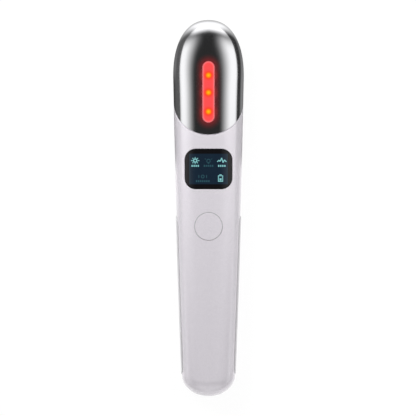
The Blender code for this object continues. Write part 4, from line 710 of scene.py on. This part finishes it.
def shade_by_form(mesh, outside):
    """Gives the outside faces the form's own normals, so that a mirror finish shows no facets."""
    normals = [corner.vector.copy() for corner in mesh.corner_normals]
    for index in outside:
        for corner in mesh.polygons[index].loop_indices:
            point = mesh.vertices[mesh.loops[corner].vertex_index].co
            if abs(point.y) < BODY_LENGTH / 2 - POLE_MARGIN:
                normals[corner] = form_normal(point)
    mesh.normals_split_custom_set(normals)


def dress(piece, name, finish, body, slot, *nodes):
    piece.name = name
    piece.data.name = name
    outside = [face.index for face in piece.data.polygons if face.material_index == OUTSIDE]
    for face in piece.data.polygons:
        face.material_index = 0
    piece.data.materials.clear()
    piece.data.materials.append(finish)
    piece.data.shade_smooth()
    piece.data.set_sharp_from_angle(angle=SMOOTH_ANGLE)
    if len(outside) < len(piece.data.polygons):
        shade_by_form(piece.data, outside)
    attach(piece, body)
    if nodes:
        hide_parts(*nodes)
    return piece


# %% [markdown]
# The two handle shells are mouldings that meet at mid height with a hairline between them.
# The front one has the lens's and button's openings, each with its small round, and both share
# the grooves for the side strips and the mouth of the charging port.
# %% Handle shells
SHELL_WALL = 1.6 * MM
SEAM_GAP = 0.2 * MM
FIT_GAP = 0.15 * MM
BUTTON_GAP = 0.12 * MM
LENS_HOLE_ROUND = 0.22 * MM
BUTTON_RADIUS = 5.5 * MM
BUTTON_LOW, BUTTON_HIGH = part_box("button_cap")
BUTTON_Y = (BUTTON_LOW.y + BUTTON_HIGH.y) / 2
BUTTON_HOLE_ROUND = 0.06 * MM
GRIP_LOW, GRIP_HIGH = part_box("right_grip_electrode")
GRIP_WIDTH = 6.0 * MM
GRIP_PROUD, GRIP_DEPTH = 0.3 * MM, 0.55 * MM
PORT_SIZE = (8.94 * MM, 3.2 * MM)
PORT_REACH = 4.3 * MM


def prism(width, height, corner, depth, turn):
    """A straight prism with a rounded outline, placed by a matrix."""
    bm = bmesh.new()
    loops = []
    for z in (-depth / 2, depth / 2):
        loops.append([bm.verts.new((x, y, z)) for x, y in rounded_outline(width, height, corner)])
    for index in range(len(loops[0])):
        after = (index + 1) % len(loops[0])
        bm.faces.new((loops[0][index], loops[0][after], loops[1][after], loops[1][index]))
    bm.faces.new(loops[0][::-1])
    bm.faces.new(loops[1])
    bmesh.ops.transform(bm, verts=bm.verts, matrix=turn)
    bmesh.ops.recalc_face_normals(bm, faces=bm.faces)
    return added(bm, "prism")


GRIP_MIDDLE = ((GRIP_LOW.y + GRIP_HIGH.y) / 2, 0)
GRIP_SIZE = (GRIP_HIGH.y - GRIP_LOW.y, GRIP_WIDTH)
GRIP_ROUND = 0.28 * MM


def grip_plug(hand, margin, radius, outward, proud=0.0):
    rings = edge_round(margin, radius, outward, proud)
    return plug(GRIP_MIDDLE, GRIP_SIZE, GRIP_WIDTH / 2, rings, on_flank(hand))


def port_prism():
    turn = Matrix(((1, 0, 0), (0, 0, -1), (0, 1, 0))).to_4x4()
    place = Matrix.Translation((0, along(0), SEAM_HEIGHT))
    width, height = (side + 2 * FIT_GAP for side in PORT_SIZE)
    return prism(width, height, height / 2, 2 * PORT_REACH, place @ turn)


def shell(low, high):
    """Half of the handle as a thin shell, up to the head's joint."""
    made = keep(skin(), between_heights(low, high), between_joint_planes(-FAR, -JOINT_GAP / 2))
    cut(made, skin(SHELL_WALL), joint_chamfer(-1))
    for hand in (-1, 1):
        cut(made, cut(grip_plug(hand, BUTTON_GAP, BUTTON_HOLE_ROUND, True), skin(GRIP_DEPTH + FIT_GAP)))
    cut(made, port_prism())
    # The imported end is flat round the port, so the rim is pressed flat after the cuts.
    for point in made.data.vertices:
        point.co.y = max(point.co.y, along(END_TRIM))
    return made


front = shell(SEAM_HEIGHT + SEAM_GAP / 2, FAR)
cut(front, plug((0, LENS_Y), LENS_SIZE, LENS_CORNER, edge_round(BUTTON_GAP, LENS_HOLE_ROUND, True)))
BUTTON_SIZE = (2 * BUTTON_RADIUS, 2 * BUTTON_RADIUS)
mouth = edge_round(BUTTON_GAP, BUTTON_HOLE_ROUND, True)
cut(front, plug((0, BUTTON_Y), BUTTON_SIZE, BUTTON_RADIUS, mouth))
dress(front, "front_shell", PEARL_LACQUER, "handle", "white_plastic", "front_housing")
rear = shell(0, SEAM_HEIGHT - SEAM_GAP / 2)
dress(rear, "rear_shell", PEARL_LACQUER, "handle", "white_plastic", "rear_housing")
print("front shell:", len(front.data.polygons), "faces; rear:", len(rear.data.polygons))

# %% [markdown]
# The side strips are plated contacts that stand a hair proud of the flanks.
# %% Side strips
for hand, side in ((-1, "left"), (1, "right")):
    strip = keep(skin(-GRIP_PROUD), grip_plug(hand, 0, GRIP_ROUND, False, GRIP_PROUD))
    cut(strip, skin(GRIP_DEPTH))
    dress(strip, side + "_strip", PLATED_STRIP, "handle", "plated_metal", side + "_grip_electrode")
    print(strip.name, len(strip.data.polygons), "faces")

# %% [markdown]
# The head is a thin plated shell, cut on the slant where it meets the handle, with the window's
# opening through it.
# %% Plated head
HEAD_WALL = 1.2 * MM
WINDOW_HOLE_ROUND = 0.12 * MM

head = keep(skin(), between_joint_planes(JOINT_GAP / 2, FAR))
cut(head, skin(HEAD_WALL), joint_chamfer(1))
mouth = edge_round(0, WINDOW_HOLE_ROUND, True)
cut(head, plug((0, WINDOW_Y), WINDOW_SIZE, WINDOW_SIZE[0] / 2, mouth))
dress(head, "plated_head", PLATED_HEAD, "handle", "polished_metal", "massage_head")
print("head:", len(head.data.polygons), "faces")

# %% [markdown]
# Three inlays fill the openings: the window bar in the head, the lens over the screen, and the
# button. Each is the skin itself, kept inside a plug whose edge is rounded over.
# %% Inlays
INLAY_ROUND = 0.12 * MM
WINDOW_GAP = 0.12 * MM
LENS_THICKNESS = 1.0 * MM
CAP_THICKNESS = 1.4 * MM
CAP_PROUD, CAP_ROUND = 0.12 * MM, 0.16 * MM


def inlay(middle_y, size, corner, margin, thickness, proud=0.0, radius=INLAY_ROUND):
    rings = edge_round(margin, radius, False, proud)
    made = keep(skin(-proud), plug((0, middle_y), size, corner, rings))
    return cut(made, skin(thickness))


bar = inlay(WINDOW_Y, WINDOW_SIZE, WINDOW_SIZE[0] / 2, -WINDOW_GAP, HEAD_WALL)
dress(bar, "window_bar", LIT_WINDOW, "handle", "red_diffuser", "light_window")
lens = inlay(LENS_Y, LENS_SIZE, LENS_CORNER, 0, LENS_THICKNESS)
dress(lens, "screen_lens", SCREEN_GLASS, "handle", "black_gloss", "display_lens")
cap = inlay(BUTTON_Y, BUTTON_SIZE, BUTTON_RADIUS, 0, CAP_THICKNESS, CAP_PROUD, CAP_ROUND)
dress(cap, "button_top", PEARL_LACQUER, "button", "white_plastic", "button_cap")
print("inlays:", [len(piece.data.polygons) for piece in (bar, lens, cap)], "faces")

# %% [markdown]
# The screen's symbols are plain pictograms: a sun for warmth, a lamp for the light, a pulse for
# the current, a shaking ring for vibration and a battery. Rows of small blocks under them show
# a level. Each is cut from flat outlines and laid on the lens's curve.
# %% Screen symbols
SYMBOL_SINK, SYMBOL_STAND = 0.03 * MM, 0.02 * MM
WELD_DISTANCE = 0.001 * MM
RING_STEPS = 20


def bar_between(start, end, width):
    """A straight stroke as a rectangle."""
    start, end = Vector(start), Vector(end)
    way = (end - start).normalized() * width / 2
    off = Vector((-way.y, way.x))
    return [tuple(point) for point in (start + off, start - off, end - off, end + off)]


def stroke(middle, start, end, width):
    """A stroke whose two ends are measured from a symbol's middle."""
    return bar_between(*[(middle[0] + x, middle[1] + y) for x, y in (start, end)], width)


def upright(middle, width, height):
    x, y = middle
    return [(x - width / 2, y - height / 2), (x + width / 2, y - height / 2),
            (x + width / 2, y + height / 2), (x - width / 2, y + height / 2)]


def hoop(middle, radius, width):
    """A ring as a row of short strokes that meet end to end."""
    points = []
    for step in range(RING_STEPS + 1):
        angle = 2 * math.pi * step / RING_STEPS
        points.append((middle[0] + radius * math.cos(angle), middle[1] + radius * math.sin(angle)))
    return [ring_piece(a, b, middle, width) for a, b in zip(points, points[1:])]


def ring_piece(start, end, middle, width):
    """One stroke of a ring, with its ends on the ring's radii."""
    corners = []
    for point, side in ((start, 1), (start, -1), (end, -1), (end, 1)):
        out = (Vector(point) - Vector(middle)).normalized()
        corners.append(tuple(Vector(point) + out * side * width / 2))
    return corners


def symbol(name, outlines, light):
    """Flat outlines, in millimetres from the lens's middle, laid on the lens as thin inlays."""
    bm = bmesh.new()
    for outline in outlines:
        rows = []
        for rise in (-SYMBOL_SINK, SYMBOL_STAND):
            row = []
            for x, y in outline:
                place = (x * MM, LENS_Y + y * MM)
                row.append(bm.verts.new((*place, front_height(*place) + rise)))
            rows.append(row)
        for index in range(len(outline)):
            after = (index + 1) % len(outline)
            bm.faces.new((rows[0][index], rows[0][after], rows[1][after], rows[1][index]))
        bm.faces.new(rows[0][::-1])
        bm.faces.new(rows[1])
    bmesh.ops.remove_doubles(bm, verts=bm.verts, dist=WELD_DISTANCE)
    bmesh.ops.recalc_face_normals(bm, faces=bm.faces)
    dress(added(bm, name), name, light, "handle", "display_glass")


def blocks(middle, count, pitch, size):
    start = middle[0] - pitch * (count - 1) / 2
    return [upright((start + pitch * index, middle[1]), *size) for index in range(count)]


SUN, BULB, PULSE, SHAKE, BATTERY = (-5.3, 3.35), (0.0, 3.2), (5.3, 3.3), (-2.3, -3.0), (4.8, -3.8)
RAY_WIDTH, GLIMMER_WIDTH, BEAT_WIDTH = 0.32, 0.22, 0.36
sun = hoop(SUN, 0.66, 0.46)
for dx, dy, reach in ((1, 0, 1.65), (-1, 0, 1.65), (0, 1, 1.4), (0, -1, 1.4)):
    sun.append(stroke(SUN, (1.05 * dx, 1.05 * dy), (reach * dx, reach * dy), RAY_WIDTH))
for dx, dy in ((1, 1), (-1, 1), (-1, -1), (1, -1)):
    sun.append(stroke(SUN, (0.75 * dx, 0.72 * dy), (1.1 * dx, 1.0 * dy), RAY_WIDTH))
symbol("symbol_sun", sun, BRIGHT)

bulb = hoop(BULB, 0.68, 0.26)
bulb.append(upright((BULB[0], BULB[1] - 1.0), 0.6, GLIMMER_WIDTH))
for dx in (-1, 1):
    bulb.append(stroke(BULB, (dx * 1.0, 0.6), (dx * 1.45, 0.9), GLIMMER_WIDTH))
symbol("symbol_bulb", bulb, DIM)

beat = [(-1.8, -0.45), (-1.15, 0.2), (-0.7, -0.3), (-0.05, 1.1)]
beat += [(0.5, -0.75), (1.05, 0.35), (1.8, -0.45)]
symbol("symbol_pulse", [stroke(PULSE, a, b, BEAT_WIDTH) for a, b in zip(beat, beat[1:])], BRIGHT)

shake = hoop(SHAKE, 0.58, 0.28)
shake += [upright((SHAKE[0] + dx, SHAKE[1]), 0.26, 1.2) for dx in (-1.55, 1.55)]
symbol("symbol_shake", shake, DIM)

cell = [upright((BATTERY[0] + dx, BATTERY[1]), 0.3, 2.5) for dx in (-0.85, 0.85)]
cell += [upright((BATTERY[0], BATTERY[1] + dy), 1.4, 0.3) for dy in (-1.1, 1.1)]
cell.append(upright((BATTERY[0], BATTERY[1] + 1.5), 0.9, 0.3))
cell.append(upright((BATTERY[0], BATTERY[1] - 0.35), 0.8, 0.9))
symbol("symbol_battery", cell, BRIGHT)

LEVEL_BLOCK = (0.5, 0.75)
LEVEL_PITCH = 0.82
symbol("levels_warmth", blocks((SUN[0], 1.25), 4, LEVEL_PITCH, LEVEL_BLOCK), BRIGHT)
symbol("levels_light", blocks((BULB[0], 1.25), 5, LEVEL_PITCH, LEVEL_BLOCK), DIM)
symbol("levels_pulse", blocks((PULSE[0], 1.25), 4, LEVEL_PITCH, LEVEL_BLOCK), BRIGHT)
symbol("levels_shake", blocks((SHAKE[0], -4.85), 7, LEVEL_PITCH, LEVEL_BLOCK), DIM)
print("symbols laid on the lens")

# %% [markdown]
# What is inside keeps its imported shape. It can't be seen in the closed product, but anyone who
# takes the model apart will see it, so each kind of piece has its own finish: solder mask with
# its weave, moulded black, amber film, brushed steel and so on.
# %% Finishes of the inner pieces
def worked(name, first, second, grain, rough, metallic=0.0, stretch=(1, 1, 1), relief=0.0):
    """A finish that wanders between two colours at a grain's real size."""
    made, tree, shader = shader_of(name, metallic=metallic)
    pattern = noise(tree, grain, detail=3.0, stretch=stretch)
    flows = {"base_color": pattern.ramp(0.35, 0.65).colour(first, second)}
    flows["roughness"] = rough + 0.12 * (pattern - 0.5)
    if relief:
        flows["normal"] = bump(tree, pattern, relief, 0.5)
    feed(tree, shader, **flows)
    return made


ALONG_GRAIN = (1, 0.05, 1)
INNER = {
    "circuit_board": worked("solder_mask", (0.012, 0.11, 0.05), (0.02, 0.17, 0.08), 0.4 * MM, 0.35),
    "chip_plastic": worked("black_moulding", (0.018, 0.018, 0.02), (0.035, 0.035, 0.037), 0.15 * MM, 0.5),
    "cream_plastic": worked("cream_moulding", (0.70, 0.66, 0.55), (0.76, 0.72, 0.61), 0.6 * MM, 0.45),
    "amber_film": worked("amber_film", (0.55, 0.23, 0.03), (0.68, 0.31, 0.06), 1.2 * MM, 0.3),
    "blue_wrap": worked("blue_wrap", (0.04, 0.16, 0.48), (0.05, 0.20, 0.55), 3 * MM, 0.3),
    "steel": worked(
        "drawn_steel", (0.50, 0.50, 0.51), (0.60, 0.60, 0.61), 0.1 * MM, 0.3, 1.0, ALONG_GRAIN
    ),
    "brass": worked("brass", (0.64, 0.46, 0.18), (0.74, 0.56, 0.25), 0.2 * MM, 0.3, 1.0),
    "rubber": worked(
        "rubber", (0.03, 0.03, 0.03), (0.05, 0.05, 0.05), 0.3 * MM, 0.8, relief=0.01 * MM
    ),
    "black_foam": worked(
        "black_foam", (0.01, 0.01, 0.01), (0.03, 0.03, 0.03), 0.25 * MM, 0.9, relief=0.05 * MM
    ),
    "wire_cover": worked("wire_cover", (0.52, 0.02, 0.02), (0.62, 0.035, 0.03), 1.0 * MM, 0.45),
    "red_diffuser": worked("lamp_resin", (0.75, 0.05, 0.04), (0.9, 0.09, 0.07), 0.4 * MM, 0.3),
    "display_glass": worked("panel_glass", (0.015, 0.03, 0.055), (0.02, 0.04, 0.07), 2 * MM, 0.1),
}
SLOT_WORDS = {
    "board": "circuit_board", "chip": "chip_plastic", "transformer": "chip_plastic",
    "capacitor": "chip_plastic", "holder": "chip_plastic", "switch_body": "chip_plastic",
    "port_tongue": "chip_plastic", "thermistor": "chip_plastic", "film": "amber_film",
    "flex": "amber_film", "ribbon": "amber_film", "battery_cell": "blue_wrap", "screw": "steel",
    "motor_can": "steel", "shaft": "steel", "dome": "steel", "cover": "steel",
    "port_shell": "steel", "weight": "brass", "spring": "brass", "terminal": "brass",
    "sleeve": "rubber", "pad": "black_foam", "gasket": "black_foam", "lead": "wire_cover",
    "red_lamp": "red_diffuser", "panel": "display_glass",
}


def slot_of(node):
    """The last word of the list that a node's name holds, so that fuller names win."""
    found = [slot for word, slot in SLOT_WORDS.items() if word in node]
    if "board_screw" in node:
        return "steel"
    return found[-1] if found else "cream_plastic"


for name, node in sorted(NODES.items()):
    if not node.hide_render:
        node.data.materials.clear()
        node.data.materials.append(INNER[slot_of(name)])
print("inner pieces dressed:", sum(not node.hide_render for node in NODES.values()))

# %% [markdown]
# The camera looks straight down with a long lens, so the handle shows no perspective. Its height
# is worked out so that the picture is as wide, in real size, as the photograph's frame.
# %% Camera
FRAME_WIDTH = 166.4 * MM
LENS_MM = 600.0
SENSOR_MM = 36.0
camera_data = bpy.data.cameras.new("camera")
camera_data.lens = LENS_MM
camera_data.sensor_width = SENSOR_MM
camera = bpy.data.objects.new("camera", camera_data)
bpy.context.scene.collection.objects.link(camera)
distance = FRAME_WIDTH * LENS_MM / SENSOR_MM
camera.location = (-0.2 * MM, 0.06 * MM, SEAM_HEIGHT + distance)
bpy.context.scene.camera = camera
print("camera", round(distance, 3), "m above the seam")

# %% [markdown]
# The light is a product studio's. A plated head shows its room, so the room is drawn as a tent
# that only reflections see: a long soft box on each side, one beyond the tip, and dark between.
# A card on the table, also for reflections only, gives the plating its dark outer line.
# Soft lamps, which reflections don't see, give the plain light on the lacquer.
# %% Studio
TENT_RADIUS = 0.5
TENT_SEGMENTS = 64
TENT_MIDDLE = Vector((0, along(121 * MM), SEAM_HEIGHT))
TENT_DARK = 0.028
SIDE_LIGHT, TIP_LIGHT, END_LIGHT = 1.18, 1.35, 0.85
LEFT_LAG = 7  # degrees by which the left box starts, and the tip box ends, further left
SIDE_STEEP, SIDE_ACROSS = (31, 73), (8, 44)  # where the side boxes fade in, in degrees
SIDE_AHEAD, SIDE_BEHIND = (34, 66), (-20, -2)
TIP_AHEAD, TIP_ACROSS, TIP_BEND = (60, 77), (38, 76), 0.12
END_BEHIND, END_ACROSS = (40, 80), (30, 70)
CARD_CENTRE = along(124 * MM)
CARD_HALF = 700 * MM
CARD_HEIGHT = 0.4 * MM
CARD_DARK = (0.115, 0.040)  # beside the head: left, right
CARD_FOOT = (0.20, 0.40)
CARD_BODY = 0.42
CARD_TIP_LIGHT = 1.30
# Painted contact shadow: the card is dimmed close to the head, where the table would lie in its shade.
CONTACT_SHADE = 0.35  # how light the card is right beside the head
FOOT_TURN, FAR_TURN, TIP_TURN = (0, 20), (25, 45), (44, 70)  # degrees round from beside the head
FOOT_REACH, FAR_REACH = (18 * MM, 42 * MM), (80 * MM, 150 * MM)
RIM_REACH, BODY_REACH = (13 * MM, 34 * MM), (18 * MM, 34 * MM)
FAR_SLANT, RIM_SLANT = 0.9, 0.3
HEAD_PART = (CARD_CENTRE - 36 * MM, CARD_CENTRE - 26 * MM)  # where the body's card gives way


def light_only(name, tree_of):
    """A material of light alone, whose strength a function works out."""
    made = bpy.data.materials.new(name)
    made.use_nodes = True
    tree = made.node_tree
    tree.nodes.clear()
    output = tree.nodes.new("ShaderNodeOutputMaterial")
    strength = tree_of(tree)
    glow = Flow(tree).node("ShaderNodeEmission", inputs={"Color": (1, 1, 1, 1), "Strength": strength})
    tree.links.new(glow.source, output.inputs["Surface"])
    return made


def only_in_reflections(piece):
    piece.visible_camera = False
    piece.visible_diffuse = False
    piece.visible_transmission = False
    piece.visible_volume_scatter = False
    piece.visible_shadow = False


def tent_strength(tree):
    """Soft boxes by direction: degrees from straight up, split into across and along."""
    x, y, z = places(tree)
    level = x.maths("SQRT", x * x + y * y)
    steep = x.maths("ARCTAN2", level, z) * math.degrees(1)
    across = abs(x) / level * steep
    ahead = y / level * steep
    on_right = x.maths("GREATER_THAN", x, 0.0)
    side = (steep - LEFT_LAG * (1 - on_right)).ramp(*SIDE_STEEP) * across.ramp(*SIDE_ACROSS)
    side = side * (1 - ahead.ramp(*SIDE_AHEAD)) * ahead.ramp(*SIDE_BEHIND)
    beside = 1 - (across - LEFT_LAG * on_right).ramp(*TIP_ACROSS)
    tip = (ahead + TIP_BEND * across).ramp(*TIP_AHEAD) * beside
    end = (0 - ahead).ramp(*END_BEHIND) * (1 - across.ramp(*END_ACROSS))
    return TENT_DARK + SIDE_LIGHT * side + TIP_LIGHT * tip + END_LIGHT * end


def card_strength(tree):
    """The table as the plating sees it: dark beside the head, light beyond the tip."""
    x, y, _ = places(tree)
    past = x.maths("MAXIMUM", y - CARD_CENTRE, 0.0)
    reach = x.maths("SQRT", x * x + past * past)
    turn = x.maths("ARCTAN2", past, abs(x)) * math.degrees(1)
    on_right = x.maths("GREATER_THAN", x, 0.0)
    dark = CARD_DARK[0] + (CARD_DARK[1] - CARD_DARK[0]) * on_right
    foot = CARD_FOOT[0] * turn.ramp(*FOOT_TURN) * (1 - on_right) + CARD_FOOT[1] * on_right
    far = (reach - FAR_SLANT * past).ramp(*FAR_REACH) * (1 - turn.ramp(*FAR_TURN))
    head = dark + foot * (1 - reach.ramp(*FOOT_REACH)) + (1 - dark) * far
    head = head + turn.ramp(*TIP_TURN) * (CARD_TIP_LIGHT - head)
    # Painted contact shadow: the card darkens towards the head's outline, as the table would in the head's
    # shade.
    rim = x.maths("SQRT", x * x + RIM_SLANT * past * past)
    head = head * (CONTACT_SHADE + (1 - CONTACT_SHADE) * rim.ramp(*RIM_REACH))
    body = CARD_BODY + (1 - CARD_BODY) * (1 - reach.ramp(*BODY_REACH) + far)
    here = y.ramp(*HEAD_PART)
    return body + here * (head - body)


bm = bmesh.new()
bmesh.ops.create_uvsphere(bm, u_segments=TENT_SEGMENTS, v_segments=TENT_SEGMENTS // 2, radius=TENT_RADIUS)
tent = added(bm, "light_tent")
tent.location = TENT_MIDDLE
tent.data.materials.append(light_only("tent_light", tent_strength))
only_in_reflections(tent)

bm = bmesh.new()
bmesh.ops.create_grid(bm, x_segments=1, y_segments=1, size=CARD_HALF)
card = added(bm, "table_card")
card.location = (0, 0, CARD_HEIGHT)
card.data.materials.append(light_only("card_light", card_strength))
only_in_reflections(card)


def lamp(name, place, size, power):
    """A soft square lamp that looks at the middle of the massager."""
    data = bpy.data.lights.new(name, "AREA")
    data.shape = "SQUARE"
    data.size = size
    data.energy = power
    made = bpy.data.objects.new(name, data)
    bpy.context.scene.collection.objects.link(made)
    made.location = place
    made.rotation_euler = (-Vector(place)).to_track_quat("-Z", "Y").to_euler()
    made.visible_glossy = False


lamp("key_lamp", (-0.45, 0.45, 0.80), 0.35, 3.6)
lamp("fill_lamp", (0.60, 0.10, 0.80), 0.7, 2.6)
lamp("tip_lamp", (-0.05, 0.26, 0.16), 0.2, 0.35)
print("tent, card and three lamps placed")

# %% [markdown]
# The table is white. Seen directly or in the plating it gives off its own white, and the rest of
# its shading comes from the lamps, which keeps a faint shadow under the massager.
# %% Table and backdrop
FILL_LIGHT = 0.42
TABLE_WHITE, TABLE_DEEP = 0.96, 0.95
OWN_WHITE_SHARE = 0.92
OWN_WHITE = 1.02
TABLE_SIZE = 4.0


def seen_directly(tree):
    """1 for rays from the camera, from a mirror or through glass."""
    flow = Flow(tree)
    rays = [flow.node("ShaderNodeLightPath", output=ray) for ray in
            ("Is Camera Ray", "Is Glossy Ray", "Is Transmission Ray")]
    return flow.maths("MINIMUM", rays[0] + rays[1] + rays[2], 1.0)


table_paint, tree, shader = shader_of("table_paint", roughness=0.9)
grain = noise(tree, 2 * MM)
feed(tree, shader, base_color=grain.colour((TABLE_DEEP,) * 3, (TABLE_WHITE,) * 3))
glow = Flow(tree).node("ShaderNodeEmission", inputs={"Color": (1, 1, 1, 1), "Strength": OWN_WHITE})
mix = tree.nodes.new("ShaderNodeMixShader")
tree.links.new((OWN_WHITE_SHARE * seen_directly(tree)).source, mix.inputs[0])
tree.links.new(shader.outputs[0], mix.inputs[1])
tree.links.new(glow.source, mix.inputs[2])
tree.links.new(mix.outputs[0], tree.nodes["Material Output"].inputs["Surface"])

bm = bmesh.new()
bmesh.ops.create_grid(bm, x_segments=1, y_segments=1, size=TABLE_SIZE / 2)
table = added(bm, "table")
table.data.materials.append(table_paint)

world = bpy.data.worlds.new("studio")
bpy.context.scene.world = world
world.use_nodes = True
sky = world.node_tree.nodes["Background"]
strength = FILL_LIGHT + (1 - FILL_LIGHT) * seen_directly(world.node_tree)
world.node_tree.links.new(strength.source, sky.inputs["Strength"])
sky.inputs["Color"].default_value = (1, 1, 1, 1)
bpy.context.scene.view_settings.view_transform = "Standard"
print("table", TABLE_SIZE, "m wide, world set")
